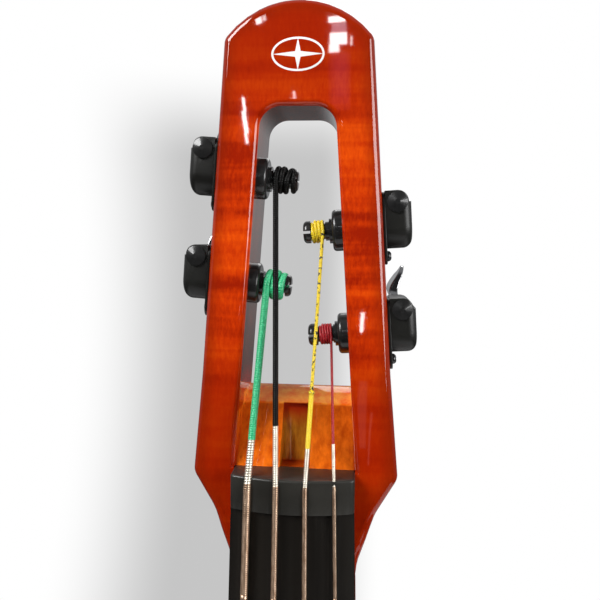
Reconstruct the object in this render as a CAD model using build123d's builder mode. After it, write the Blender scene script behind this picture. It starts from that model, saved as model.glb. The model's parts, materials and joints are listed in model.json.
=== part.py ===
"""Electric upright double bass: a slim solid instrument with a slotted head and worm-geared tuners.

Frame: +Z up along the neck, +X to the right seen from the front, -Y towards the listener. The origin
is the centre of the stand socket, on the outer face of the plate in the body's back. All sizes are
millimetres. Most of the model is described by three numbers that suit the instrument: x across,
depth behind the plane on which the fingerboard is glued, and height above the nut's lower edge.
"""

import os
from math import cos, pi, radians, sin, sqrt, tan

from build123d import *

# ---- Driving dimensions ---------------------------------------------------------------------------
SCALE_LENGTH = 1060.0        # nut to bridge
NUT_Z = 760.0                # the nut's lower edge above the stand socket
NECK_Y = -78.0               # the fingerboard's glue plane, in front of the stand socket

# Head
HEAD_THICKNESS = 30.0
HEAD_TOP = 175.4             # crown of the head above the nut
RAIL_TAPER = 4.1             # degrees by which both rails lean in towards the top
HALF_WIDTH_AT_88 = 30.9      # half the head's width, 88 mm above the nut
RAIL_WIDTH = 14.25           # across each rail beside the slot, square to its side
EDGE_ROUND = 3.0             # the head's front outline
BACK_EDGE_ROUND = 2.6
SLOT_EDGE_ROUND = 2.0        # the slot's front edge
SLOT_TOP = 140.4
SLOT_BOTTOM = 37.0
LEDGE_EDGE = (15.3, 33.0)    # depth and height of the edge between the slot's ledge and its ramp
RAMP_FOOT = (2.2, 12.2)      # where the ramp meets the nut
SLOT_CORNER = 7.5            # the slot's upper corners
SLOT_TURN = (21.0, 35.6)     # a point on the slot's lower end, between its back and its ledge
RAMP_MIDDLE = (9.6, 23.6)
RAMP_END = 8.0               # the slot's lowest height, under the nut
RAIL_FOOT = 47.0             # below this the outline spreads a little towards the hip
HIP = (37.3, 9.6)            # the head's widest corner
HIP_LINE_END = (30.6, -2.0)  # where the straight flank below the hip turns into the neck's curve
FLANK_MIDDLE = (26.7, -12.9)
NECK_START = (22.9, -27.0)   # where that curve meets the neck
NECK_DEPTH = 21.8            # the neck's thickness there
NECK_END = -480.0            # where the neck meets its heel
NECK_END_HALF_WIDTH = 33.6
NECK_END_DEPTH = 30.0
NECK_POWERS = (2.25, 2.5)    # how square the neck's back is at both ends; 2 is round
BACK_STEP = ((30.0, 24.0), (26.5, 2.0))  # depth and height where the head's back starts to come forward
SHOULDER_ROUND = 4.0
HIP_ROUND = 5.0
SHOULDER_Z = 162.9           # where the crown's arc meets the rails' outer sides

INLAY_Z = 157.0
INLAY_HALF_WIDTH = 9.0
INLAY_HALF_HEIGHT = 5.6
INLAY_LINE = 0.7
INLAY_WAIST = 1.3
INLAY_DEPTH = 0.8
THROUGH = 60.0               # longer than any cut that must go right through

# Fingerboard and nut
NUT_WIDTH = 44.0
BOARD_LENGTH = 820.0
BOARD_END_WIDTH = 85.0
BOARD_RADIUS_NUT = 70.0
BOARD_RADIUS_END = 76.0
BOARD_CROWN_NUT = 8.8        # thickness over the centre line
BOARD_CROWN_END = 20.0
NUT_LENGTH = 12.2
NUT_BREAK = 9.4              # the strings turn back here, above the nut's lower edge
NUT_EDGE_ROUND = 0.8
NUT_CROWN = 10.4
NUT_CORNER = 2.0             # the nut's two front corners
NUT_SEAT = 3.0               # depth of the nut's seat in the neck

# Strings: name, wound diameter, diameter of the silk on the post, x at the nut
STRINGS = ("e", "a", "d", "g")
WOUND = {"e": 2.7, "a": 2.1, "d": 1.7, "g": 1.3}
SILK = {"e": 2.7, "a": 2.1, "d": 1.3, "g": 1.0}
STRING_AT_NUT = {"e": -15.4, "a": -5.3, "d": 4.8, "g": 14.8}
BRIDGE_SPACING = 28.0
TAIL_SPACING = 22.6
STRING_OVER_BOARD = 0.8      # under each string where it leaves the nut
STRING_BENDS = {1: 30.0, 2: 14.0, 3: 22.0}  # bend radius at the tailpiece, bridge and nut
STRING_SLOT = 0.03           # room round a string in the nut and the bridge
BRIDGE_SLOT_DEPTH = 0.7
BALL_RADIUS = 3.2
BALL_LENGTH = 5.0

# Tuners: which side, and the height at which the post leaves the rail's outer side
TUNER_SIDE = {"e": -1, "a": -1, "d": 1, "g": 1}
TUNER_HEIGHT = {"a": 117.7, "d": 99.4, "e": 80.0, "g": 62.1}
POST_DEPTH = 10.0
POST_REACH = {"e": 29.15, "a": 28.65, "d": 28.35, "g": 28.75}  # from the rail's outer side to the tip
POST_RADIUS = 3.4
BARREL_RADIUS = 2.85         # the post's waist, under the winding
WINDING_START = {"e": 19.15, "a": 19.75, "d": 20.55, "g": 19.85}
TURNS = {"e": 3, "a": 3, "d": 4, "g": 5}
WORM_OUT = 5.2               # the worm's axis, out from the rail
WORM_UP = 8.4                # and above the post
WHEEL_TEETH = 20
WHEEL_PITCH_RADIUS = 5.9
WORM_LEAD = 2 * pi * WHEEL_PITCH_RADIUS / WHEEL_TEETH
CASE_OUT = 10.1
CASE_CORNER = 4.0            # round the worm, above its level; the case steps in there
CASE_RADIUS = 7.6
CASE_TOP = WORM_UP + CASE_CORNER
PLATE = 1.0
KEY_START = 21.6             # the key's paddle starts behind the head's back, this far behind the posts
KEY_LENGTH = 22.0
KEY_HALF_SPAN = 14.1
KEY_BULGE = 1.9              # how far each wing bows out to one side
KEY_TURN = {"e": 4.0, "a": -6.0, "d": -38.0, "g": 11.0}  # rest angle from upright, degrees

# Hidden sizes in the tuners
RUNNING = 0.05               # room round every turning shaft
POST_HOLE = 1.1              # room round the post inside the rail
POST_SHOULDER = 0.2          # the winding starts this far before the post's waist
BUSHING_PIPE = 9.0           # how far the bushing reaches into the rail
BUSHING_ROUND = 1.3
POST_ROUND = 1.5
PLATE_LENGTH = 25.4
PLATE_CORNER = 3.5
PLATE_DROP = 0.4             # the plate's middle, below the post
CASE_WALL = 1.5
CASE_ROUND = 3.2
GEAR_ROOM = 0.35             # round the wheel and the worm, inside the case
WHEEL_STUB = 0.6             # the post ends this far outside its wheel
TOOTH_GAP = (0.42, 1.05)     # half width of the gap between teeth, at its root and 8 mm out
THREAD_ROOT = 0.3            # half width of the worm's thread at its root and at its crest
THREAD_CREST = 0.17
DISC_GAP = 0.3               # from the case to the disc on the worm's front end
DISC_THICKNESS = 0.4
DISC_POINT = (1.6, 0.9)      # the disc's blunt point: how far out it ends, and its radius
SCREW_HEAD_HEIGHT = 1.7
SCREW_LENGTH = 8.0
SCREW_HOLE = 9.0
KEY_HALF_THICKNESS = 5.0     # of the block the paddle is cut from
SCREW_CORE = 1.1
SCREW_SHANK = 1.25
SCREW_HEAD = 1.9
SCREW_DROP = 10.3            # below the post
WHEEL_TIP_RADIUS = 6.15
WHEEL_ROOT = 5.25
WHEEL_BORE = 2.4
WHEEL_INNER = 3.2
WHEEL_THICKNESS = 4.0
WORM_TIP_RADIUS = 2.9
WORM_CORE_RADIUS = 2.1
WORM_LENGTH = 10.0
SHAFT_RADIUS = 1.5
KEY_SHAFT_RADIUS = 2.1
DISC_RADIUS = 3.5
BUSHING_RADIUS = 7.4
BUSHING_FLANGE = 3.6         # stands this far out of the rail's inner side
BUSHING_COLLAR = 4.5
BUSHING_END = 18.95
POST_TIP = {"e": 2.1, "a": 2.2, "d": 2.6, "g": 3.4}          # length of the slotted tip
POST_SLOT = 1.0
POST_TIP_RADIUS = 4.0

# Truss rod
ROD_RADIUS = 3.0
ROD_TOP = 10.0
ROD_END = -440.0
ROD_CHANNEL_WIDTH = 6.4
ROD_CHANNEL_DEPTH = 11.0
ROD_HEX = 2.0
ROD_HEX_DEPTH = 7.0
WELL_WIDTH = 11.0            # the well in the ramp, through which the rod is reached
WELL_TOP = (17.4, 32.6)      # depth and height of its floor's upper and lower end
WELL_FOOT = (12.4, 11.0)
BOLT_RADIUS = 2.5
BOLT_HOLE_LENGTH = 34.0

# Body
FRONT_DEPTH = 34.0           # the body's front face
SEAM_DEPTH = 46.0            # top plate to back
BACK_DEPTH = 78.0
BACK_ARCH_RADIUS = 260.0
HEEL_END = -662.0
HEEL_HALF_WIDTH = 36.5
HEEL_TOP_HALF_WIDTH = 34.2
TENON = (-515.0, -650.0)
TENON_HALF_WIDTH = 26.0
TENON_DEPTH = 58.0
BRIDGE_CROWN = 34.5          # the bridge's top in front of the glue plane
BRIDGE_RADIUS = 75.0
PICKUP_THICKNESS = 2.5
TAIL_TOP = -1150.0
TAIL_LENGTH = 36.0
TAIL_FRONT = 8.0
TAIL_STRING_DEPTH = 14.0
TOGGLE_SPOT = (58.0, -1046.0)
KNOB_SPOTS = {"volume": (57.0, -1084.0), "tone": (54.0, -1122.0)}
KNOB_RADIUS = 9.5
CAVITY = (54.0, -1084.0, 34.0, 112.0)   # centre x and height, width and length
COVER_MARGIN = 3.0
COVER_THICKNESS = 2.4
JACK_HEIGHT = -1103.0
JACK_DEPTH = 47.5
JACK_SEAT_X = 84.5
STAND_HEIGHT = -NUT_Z
STAND_PLATE = (50.0, 80.0, 4.0)
STAND_SCREW_SPOTS = [(x, STAND_HEIGHT + z) for x in (-19.0, 19.0) for z in (-31.0, 31.0)]
TAIL_SCREW_X = 22.6
FERRULE_DEPTH = 73.0
COVER_SCREW_HEIGHTS = (-1027.5, -1140.5)
STAND_THREAD_RADIUS = 4.0
STAND_BOSS_RADIUS = 8.0
STAND_BOSS_DEPTH = 20.0
POCKET_CORNER = 6.0
BODY_ROUND = 4.0             # the body's front edge
BODY_BACK_ROUND = 8.0
BODY_LENGTH = 730.0          # longer than the body
FERRULE_RADIUS = 7.0
FERRULE_BORE = 4.8
BOLT_HEAD = (4.6, 3.0)       # radius, and depth of its seat behind the body's back
KNOB_SHAFT = 3.0
TOGGLE_PIVOT = 32.0
TOGGLE_BORE = 2.2
TOGGLE_PIN_RADIUS = 0.45
TOGGLE_PIN_REACH = 2.6       # from the bore's axis into its wall
JACK_BORE = 3.175
BOLT_SPOTS = [(x, z) for x in (-16.0, 16.0) for z in (-540.0, -625.0)]


# ---- Places ---------------------------------------------------------------------------------------
def front(depth):
    """A plane facing the listener; its coordinates are x and height above the nut."""
    return Plane(origin=(0, NECK_Y + depth, NUT_Z), x_dir=(1, 0, 0), z_dir=(0, -1, 0))


def side(x):
    """A plane square to X; its coordinates are depth and height above the nut."""
    return Plane(origin=(x, NECK_Y, NUT_Z), x_dir=(0, 1, 0), z_dir=(1, 0, 0))


def across(height):
    """A plane square to the neck; its coordinates are x and depth."""
    return Plane(origin=(0, NECK_Y, NUT_Z + height), x_dir=(1, 0, 0), z_dir=(0, 0, 1))


def place(x, depth, height):
    """A point in the part's own frame."""
    return Vector(x, NECK_Y + depth, NUT_Z + height)


def head_half_width(height):
    return HALF_WIDTH_AT_88 - tan(radians(RAIL_TAPER)) * (height - 88)


def slot_half_width(height):
    return head_half_width(height) - RAIL_WIDTH / cos(radians(RAIL_TAPER))


def board_half_width(height):
    return (NUT_WIDTH + (BOARD_END_WIDTH - NUT_WIDTH) * -height / BOARD_LENGTH) / 2


def sagitta(radius, x):
    """How far an arc of that radius has dropped at x from its crown."""
    return radius - sqrt(radius**2 - x**2)


def string_x(name, height):
    """A string's distance from the centre line between nut and bridge."""
    at_bridge = BRIDGE_SPACING * (STRINGS.index(name) - 1.5)
    return STRING_AT_NUT[name] + (at_bridge - STRING_AT_NUT[name]) * -height / SCALE_LENGTH


def nut_string_depth(name):
    drop = sagitta(BOARD_RADIUS_NUT, STRING_AT_NUT[name])
    return drop - BOARD_CROWN_NUT - STRING_OVER_BOARD - WOUND[name] / 2


def bridge_string_depth(name):
    drop = sagitta(BRIDGE_RADIUS, string_x(name, -SCALE_LENGTH))
    return drop - BRIDGE_CROWN - WOUND[name] / 2 + BRIDGE_SLOT_DEPTH


def save(part, name):
    part.label = name
    export_step(part, f"parts/{name}.step")


os.makedirs("parts", exist_ok=True)


def blend_points(corner, before, after, radius):
    """Start, middle and end of the arc that rounds a corner between two points, in space."""
    into = (corner - before).normalized()
    out = (after - corner).normalized()
    half_turn = radians(into.get_angle(out)) / 2
    reach = radius * tan(half_turn)
    towards_centre = (out - into).normalized()
    middle = corner + towards_centre * (radius / cos(half_turn) - radius)
    return corner - into * reach, middle, corner + out * reach


# ---- The tuners' own frame ------------------------------------------------------------------------
def tuner_plane(name, out):
    """Parallel to the rail's outer side; x is up along the rail, and side * y is to the front."""
    side_sign = TUNER_SIDE[name]
    lean = radians(RAIL_TAPER)
    height = TUNER_HEIGHT[name]
    normal = Vector(side_sign * cos(lean), 0, sin(lean))
    up = (-side_sign * sin(lean), 0, cos(lean))
    base = place(side_sign * head_half_width(height), POST_DEPTH, height)
    return Plane(origin=base + normal * out, x_dir=up, z_dir=normal)


def worm_plane(name, depth):
    """Square to the worm's axis and facing back; x points down, from the worm to the wheel."""
    mid = tuner_plane(name, WORM_OUT)
    origin = mid.from_local_coords(Vector(WORM_UP, 0, 0)) + Vector(0, depth, 0)
    return Plane(origin=origin, x_dir=-mid.x_dir, z_dir=(0, 1, 0))


def winding_pitch(name):
    return SILK[name] * 0.95


def string_top(name):
    """Where the string's straight run meets its first turn, on the front of the post."""
    centre = tuner_plane(name, -WINDING_START[name] - SILK[name] / 2).origin
    return centre - Vector(0, BARREL_RADIUS + SILK[name] / 2, 0)


def string_points(name):
    at_bridge = string_x(name, -SCALE_LENGTH)
    tail_x = TAIL_SPACING * (STRINGS.index(name) - 1.5)
    return (
        place(tail_x, TAIL_STRING_DEPTH, TAIL_TOP - TAIL_LENGTH + 11),
        place(tail_x, TAIL_STRING_DEPTH, TAIL_TOP + 9),
        place(at_bridge, bridge_string_depth(name), -SCALE_LENGTH),
        place(STRING_AT_NUT[name], nut_string_depth(name), NUT_BREAK),
        string_top(name),
    )


def string_run(name, extra):
    """The whole string as one round bar, with extra added to its radius."""
    points = string_points(name)
    with BuildPart() as run:
        with BuildLine() as route:
            last = points[0]
            for index, radius in STRING_BENDS.items():
                before, corner, after = points[index - 1 : index + 2]
                start, middle, end = blend_points(corner, before, after, radius)
                Line(last, start)
                ThreePointArc(start, middle, end)
                last = end
            Line(last, points[-1])
        with BuildSketch(Plane(origin=points[0], z_dir=points[1] - points[0])):
            Circle(WOUND[name] / 2 + extra)
        sweep(path=route.wires()[0])
        # the run stops where it meets its own winding
        with BuildSketch(tuner_plane(name, -12)):
            Circle(BARREL_RADIUS + SILK[name] + 0.06)
        extrude(amount=-20, mode=Mode.SUBTRACT)
    return run.part


# ---- Neck with its slotted head -------------------------------------------------------------------
def neck_section(height, half_width, depth, power):
    """A flat-fronted section whose back is a superellipse: power 2 is round, higher is squarer."""
    with BuildSketch(across(height)) as section:
        with BuildLine():
            points = []
            for step in range(9):
                turn = pi * step / 8
                across_share = abs(cos(turn)) ** (2 / power) * (1 if step < 4 else -1)
                points.append((half_width * across_share, depth * abs(sin(turn)) ** (2 / power)))
            points[0] = (half_width, 0)
            points[4] = (0, depth)
            points[8] = (-half_width, 0)
            Spline(*points, tangents=[(0, 1), (0, -1)])
            Line(points[8], points[0])
        make_face()
    return section.sketch


shoulder_x = head_half_width(SHOULDER_Z)
CROWN_RADIUS = (shoulder_x**2 + (HEAD_TOP - SHOULDER_Z) ** 2) / (2 * (HEAD_TOP - SHOULDER_Z))

with BuildPart() as head:
    with BuildSketch(front(HEAD_THICKNESS)) as head_outline:
        with BuildLine():
            mid_x = shoulder_x * 0.55
            mid_z = HEAD_TOP - sagitta(CROWN_RADIUS, mid_x)
            ThreePointArc((0, HEAD_TOP), (mid_x, mid_z), (shoulder_x, SHOULDER_Z))
            rail_foot = (head_half_width(RAIL_FOOT), RAIL_FOOT)
            Polyline((shoulder_x, SHOULDER_Z), rail_foot, HIP, HIP_LINE_END)
            flank = (HIP_LINE_END[0] - HIP[0], HIP_LINE_END[1] - HIP[1])
            Spline(HIP_LINE_END, FLANK_MIDDLE, NECK_START, tangents=[flank, (-0.05, -1)])
            Line(NECK_START, (0, NECK_START[1]))
            Line((0, NECK_START[1]), (0, HEAD_TOP))
        make_face()
        mirror(about=Plane.YZ)
    extrude(amount=HEAD_THICKNESS)
    upright = head.edges().filter_by(Axis.Y)
    shoulders = [e for e in upright if abs(e.center().Z - NUT_Z - SHOULDER_Z) < 0.5]
    hips = [e for e in upright if abs(e.center().Z - NUT_Z - HIP[1]) < 0.5]
    fillet(shoulders, SHOULDER_ROUND)
    fillet(hips, HIP_ROUND)
    front_rim = [e for e in head.edges() if abs(e.center().Y - NECK_Y) < 0.01]
    front_rim = [e for e in front_rim if e.center().Z > NUT_Z + NECK_START[1] + 0.5]
    fillet(front_rim, EDGE_ROUND)
    # the back comes forward from the head to the thinner neck
    with BuildSketch(side(0)):
        with BuildLine():
            curve_top, curve_middle = BACK_STEP
            curve_foot = (NECK_DEPTH, NECK_START[1])
            below, behind = NECK_START[1] - 13, HEAD_THICKNESS + 5
            Spline(curve_top, curve_middle, curve_foot, tangents=[(0, -1), (-0.02, -1)])
            Polyline(curve_foot, (NECK_DEPTH, below), (behind, below), (behind, curve_top[1]), curve_top)
        make_face()
    extrude(amount=THROUGH, both=True, mode=Mode.SUBTRACT)

with BuildPart() as slot_tool:
    with BuildSketch(front(HEAD_THICKNESS + 10)):
        with BuildLine():
            right = [(slot_half_width(RAMP_END), RAMP_END), (slot_half_width(SLOT_TOP), SLOT_TOP)]
            left = [(-x, z) for x, z in reversed(right)]
            Polyline(*right, *left, close=True)
        make_face()
    extrude(amount=THROUGH)
    tops = [e for e in slot_tool.edges().filter_by(Axis.Y) if e.center().Z > NUT_Z + SLOT_TOP - 1]
    fillet(tops, SLOT_CORNER)
    with BuildSketch(side(0)):
        with BuildLine():
            before, behind, above = -20, HEAD_THICKNESS + 10, SLOT_TOP + 5
            back_edge = (HEAD_THICKNESS - 3, SLOT_BOTTOM)
            Polyline((before, RAMP_END), (before, above), (behind, above), (behind, SLOT_BOTTOM), back_edge)
            Spline(back_edge, SLOT_TURN, LEDGE_EDGE, tangents=[(-1, 0), (-1, -0.42)])
            Spline(LEDGE_EDGE, RAMP_MIDDLE, RAMP_FOOT, tangents=[(-0.5, -1), (-0.6, -1)])
            Line(RAMP_FOOT, (before, RAMP_END))
        make_face()
    extrude(amount=THROUGH, both=True, mode=Mode.INTERSECT)

# ---- Ornament on the head: a plain ring round a four-pointed star --------------------------------
with BuildPart() as inlay_blank:
    with BuildSketch(front(INLAY_DEPTH)):
        with Locations((0, INLAY_Z)):
            Ellipse(INLAY_HALF_WIDTH, INLAY_HALF_HEIGHT)
            Ellipse(INLAY_HALF_WIDTH - INLAY_LINE, INLAY_HALF_HEIGHT - INLAY_LINE, mode=Mode.SUBTRACT)
        for turn in range(4):
            quarter = pi / 2 * turn
            reach = (INLAY_HALF_WIDTH, INLAY_HALF_HEIGHT)[turn % 2] - INLAY_LINE / 2
            tip = (reach * cos(quarter), INLAY_Z + reach * sin(quarter))
            one = (INLAY_WAIST * cos(quarter + pi / 4), INLAY_Z + INLAY_WAIST * sin(quarter + pi / 4))
            two = (INLAY_WAIST * cos(quarter - pi / 4), INLAY_Z + INLAY_WAIST * sin(quarter - pi / 4))
            Polygon(tip, one, (0, INLAY_Z), two, align=None)
    extrude(amount=INLAY_DEPTH)

with BuildPart() as neck:
    add(head.part)
    add(slot_tool.part, mode=Mode.SUBTRACT)
    slot_rim = [e for e in neck.edges() if abs(e.center().Y - NECK_Y) < 0.01 and abs(e.center().X) < 20]
    slot_rim = [e for e in slot_rim if NUT_Z + 14 < e.center().Z < NUT_Z + SLOT_TOP + 1]
    fillet(slot_rim, SLOT_EDGE_ROUND)
    back_y = NECK_Y + HEAD_THICKNESS
    back_rim = [e for e in neck.edges() if abs(e.center().Y - back_y) < 0.01]
    back_rim = [e for e in back_rim if e.center().Z > NUT_Z + BACK_STEP[0][1] + 1]
    fillet(back_rim, BACK_EDGE_ROUND)
    # the neck proper, growing towards the heel
    add(neck_section(NECK_START[1], NECK_START[0], NECK_DEPTH, NECK_POWERS[0]))
    add(neck_section(NECK_END, NECK_END_HALF_WIDTH, NECK_END_DEPTH, NECK_POWERS[1]))
    loft()
    # heel and tenon
    with BuildSketch(front(FRONT_DEPTH)):
        shoulder, foot = (HEEL_TOP_HALF_WIDTH, NECK_END + 2), (HEEL_HALF_WIDTH, HEEL_END)
        Polygon(shoulder, foot, (-foot[0], foot[1]), (-shoulder[0], shoulder[1]), align=None)
    extrude(amount=FRONT_DEPTH)
    with BuildSketch(front(TENON_DEPTH)):
        with Locations((0, (TENON[0] + TENON[1]) / 2)):
            RectangleRounded(2 * TENON_HALF_WIDTH, TENON[0] - TENON[1], POCKET_CORNER)
    extrude(amount=TENON_DEPTH - FRONT_DEPTH)
    # pockets in the neck's front: the nut's seat, the truss rod's channel and the ornament's inlay
    with BuildSketch(front(NUT_SEAT)):
        with Locations((0, NUT_LENGTH / 2)):
            Rectangle(NUT_WIDTH, NUT_LENGTH)
    extrude(amount=NUT_SEAT + 5, mode=Mode.SUBTRACT)
    with BuildSketch(front(ROD_CHANNEL_DEPTH)):
        with Locations((0, (ROD_TOP + ROD_END) / 2)):
            Rectangle(ROD_CHANNEL_WIDTH, ROD_TOP - ROD_END)
    extrude(amount=ROD_CHANNEL_DEPTH + 1, mode=Mode.SUBTRACT)
    with BuildSketch(side(0)):
        Polygon(WELL_TOP, WELL_FOOT, (-20, WELL_FOOT[1]), (-20, WELL_TOP[1]), align=None)
    extrude(amount=WELL_WIDTH / 2, both=True, mode=Mode.SUBTRACT)
    for name in STRINGS:
        with BuildSketch(tuner_plane(name, 1)):
            Circle(POST_RADIUS + POST_HOLE)
        extrude(amount=-RAIL_WIDTH - 6, mode=Mode.SUBTRACT)
        with BuildSketch(tuner_plane(name, 0)):
            with Locations((-SCREW_DROP, 0)):
                Circle(SCREW_CORE)
        extrude(amount=-SCREW_HOLE, mode=Mode.SUBTRACT)
    for x, z in BOLT_SPOTS:
        with BuildSketch(front(TENON_DEPTH)):
            with Locations((x, z)):
                Circle(BOLT_RADIUS)
        extrude(amount=BOLT_HOLE_LENGTH, mode=Mode.SUBTRACT)
    add(inlay_blank.part, mode=Mode.SUBTRACT)
save(neck.part, "neck")
save(inlay_blank.part, "head_inlay")

# ---- Truss rod ------------------------------------------------------------------------------------
with BuildPart() as truss_rod:
    with BuildSketch(across(ROD_END + 1)):
        with Locations((0, ROD_CHANNEL_DEPTH - ROD_RADIUS)):
            Circle(ROD_RADIUS)
    extrude(amount=ROD_TOP - ROD_END - 1)
    with BuildSketch(across(ROD_TOP)):
        with Locations((0, ROD_CHANNEL_DEPTH - ROD_RADIUS)):
            RegularPolygon(ROD_HEX, 6, major_radius=False)
    extrude(amount=-ROD_HEX_DEPTH, mode=Mode.SUBTRACT)
save(truss_rod.part, "truss_rod")


# ---- Fingerboard and nut --------------------------------------------------------------------------
def board_section(height, half_width, crown, radius):
    """Flat behind, arched in front."""
    edge = crown - sagitta(radius, half_width)
    with BuildSketch(across(height)) as section:
        with BuildLine():
            Polyline((-half_width, -edge), (-half_width, 0), (half_width, 0), (half_width, -edge))
            ThreePointArc((half_width, -edge), (0, -crown), (-half_width, -edge))
        make_face()
    return section.sketch


with BuildPart() as fingerboard:
    add(board_section(0, NUT_WIDTH / 2, BOARD_CROWN_NUT, BOARD_RADIUS_NUT))
    add(board_section(-BOARD_LENGTH, BOARD_END_WIDTH / 2, BOARD_CROWN_END, BOARD_RADIUS_END))
    loft()
save(fingerboard.part, "fingerboard")

with BuildPart() as nut:
    with BuildSketch(side(-NUT_WIDTH / 2)):
        with BuildLine():
            Polyline((NUT_SEAT, 0), (-12, 0), (-12, NUT_LENGTH), (NUT_SEAT, NUT_LENGTH), close=True)
        make_face()
    extrude(amount=NUT_WIDTH)
    with BuildSketch(across(-1)):
        with Locations((0, BOARD_RADIUS_NUT - NUT_CROWN)):
            Circle(BOARD_RADIUS_NUT)
    extrude(amount=NUT_LENGTH + 2, mode=Mode.INTERSECT)
    raised = [e for e in nut.edges() if e.center().Y < NECK_Y - 5]
    ends = [e for e in raised if abs(e.center().X) > NUT_WIDTH / 2 - 0.2]
    corners = [e for e in ends if abs(e.center().Z - NUT_Z - NUT_LENGTH / 2) < 1]
    fillet(corners, NUT_CORNER)
    raised = [e for e in nut.edges() if e.center().Y < NECK_Y - 5]
    back_crest = [e for e in raised if e.center().Z > NUT_Z + NUT_LENGTH - 0.1]
    fillet(back_crest, NUT_EDGE_ROUND)
    for name in STRINGS:
        add(string_run(name, STRING_SLOT), mode=Mode.SUBTRACT)
save(nut.part, "nut")

# ---- Tuners ---------------------------------------------------------------------------------------
def key_plane(name):
    """Holds the key's flat; x runs back along the worm's axis and y out along the paddle."""
    turn = radians(KEY_TURN[name])
    return Plane(origin=worm_plane(name, 0).origin, x_dir=(0, 1, 0), z_dir=(cos(turn), 0, -sin(turn)))


plates = []
bushings = []
plate_screws = []
for name in STRINGS:
    s = TUNER_SIDE[name]
    with BuildPart() as plate:
        with BuildSketch(tuner_plane(name, 0)):
            with Locations((-PLATE_DROP, 0)):
                RectangleRounded(PLATE_LENGTH, 2 * CASE_RADIUS, PLATE_CORNER)
            Circle(POST_RADIUS + RUNNING, mode=Mode.SUBTRACT)
            with Locations((-SCREW_DROP, 0)):
                Circle(SCREW_SHANK + 0.02, mode=Mode.SUBTRACT)
        extrude(amount=PLATE)
    plates.append(plate.part)

    with BuildPart() as case:
        with BuildSketch(tuner_plane(name, PLATE)):
            Circle(CASE_RADIUS)
            with Locations((CASE_TOP / 2, 0)):
                Rectangle(CASE_TOP, 2 * CASE_RADIUS)
        extrude(amount=CASE_OUT - PLATE)
        rail_side = tuner_plane(name, 0)
        outer_face = case.faces().sort_by(lambda f: rail_side.to_local_coords(f.center()).Z)[-1]
        round_rim = [e for e in outer_face.edges() if e.geom_type == GeomType.CIRCLE]
        fillet(round_rim, CASE_ROUND)
        # above the worm's level the case steps in and follows the worm round
        with BuildSketch(Plane(origin=rail_side.origin, x_dir=rail_side.z_dir, z_dir=(0, -s, 0))):
            with BuildLine():
                bend = CASE_CORNER * cos(pi / 4)
                arc_top, arc_foot = (WORM_OUT, CASE_TOP), (WORM_OUT + CASE_CORNER, WORM_UP)
                beyond, above = CASE_OUT + 1, CASE_TOP + 1
                ThreePointArc(arc_top, (WORM_OUT + bend, WORM_UP + bend), arc_foot)
                Polyline(arc_foot, (beyond, WORM_UP), (beyond, above), (WORM_OUT, above), arc_top)
            make_face()
        extrude(amount=CASE_RADIUS + 1, both=True, mode=Mode.SUBTRACT)
        # room for the wheel and, above it, for the worm
        with BuildSketch(tuner_plane(name, PLATE)):
            Circle(WHEEL_TIP_RADIUS + GEAR_ROOM)
        extrude(amount=CASE_OUT - PLATE - CASE_WALL, mode=Mode.SUBTRACT)
        with BuildSketch(tuner_plane(name, PLATE)):
            with Locations((WORM_UP / 2, 0)):
                Rectangle(WORM_UP, WORM_LENGTH + 1.0)
        extrude(amount=WORM_OUT - PLATE + WORM_TIP_RADIUS - 0.5, mode=Mode.SUBTRACT)
        with BuildSketch(worm_plane(name, -WORM_LENGTH / 2 - 0.5)):
            Circle(WORM_TIP_RADIUS + GEAR_ROOM)
        extrude(amount=WORM_LENGTH + 1.0, mode=Mode.SUBTRACT)
        with BuildSketch(worm_plane(name, -15)):
            Circle(SHAFT_RADIUS + RUNNING)
        extrude(amount=30, mode=Mode.SUBTRACT)
    save(case.part, f"tuner_case_{name}")

    with BuildPart() as bushing:
        with BuildSketch(tuner_plane(name, -RAIL_WIDTH)):
            Circle(BUSHING_RADIUS)
        extrude(amount=-BUSHING_FLANGE)
        fillet(bushing.faces().sort_by(lambda f: abs(f.center().X))[0].edges(), BUSHING_ROUND)
        with BuildSketch(tuner_plane(name, -RAIL_WIDTH - BUSHING_FLANGE)):
            Circle(BUSHING_COLLAR)
        extrude(amount=-(BUSHING_END - RAIL_WIDTH - BUSHING_FLANGE))
        with BuildSketch(tuner_plane(name, BUSHING_PIPE - RAIL_WIDTH)):
            Circle(POST_RADIUS + POST_HOLE)
        extrude(amount=-BUSHING_PIPE - 1)
        with BuildSketch(tuner_plane(name, 0)):
            Circle(POST_RADIUS + RUNNING)
        extrude(amount=-THROUGH, mode=Mode.SUBTRACT)
    bushings.append(bushing.part)

    with BuildPart() as post:
        stub_end = WHEEL_INNER + WHEEL_THICKNESS + WHEEL_STUB
        with BuildSketch(tuner_plane(name, stub_end)):
            Circle(WHEEL_BORE)
        extrude(amount=-stub_end)
        with BuildSketch(tuner_plane(name, WHEEL_INNER)):
            Circle(POST_RADIUS)
        waist = POST_SHOULDER - WINDING_START[name]
        extrude(amount=waist - WHEEL_INNER)
        with BuildSketch(tuner_plane(name, waist)):
            Circle(BARREL_RADIUS)
        extrude(amount=-(POST_REACH[name] - WINDING_START[name]))
        with BuildSketch(tuner_plane(name, -POST_REACH[name] + POST_TIP[name])):
            Circle(POST_TIP_RADIUS)
        extrude(amount=-POST_TIP[name])
        fillet(post.faces().sort_by(lambda f: abs(f.center().X))[0].edges(), POST_ROUND)
        with BuildSketch(tuner_plane(name, -POST_REACH[name] - 0.5)):
            Rectangle(POST_SLOT, 3 * POST_TIP_RADIUS)
        extrude(amount=POST_TIP[name] + 0.5, mode=Mode.SUBTRACT)
    save(post.part, f"tuner_post_{name}")

    with BuildPart() as wheel:
        with BuildSketch(tuner_plane(name, WHEEL_INNER)):
            Circle(WHEEL_TIP_RADIUS)
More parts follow.
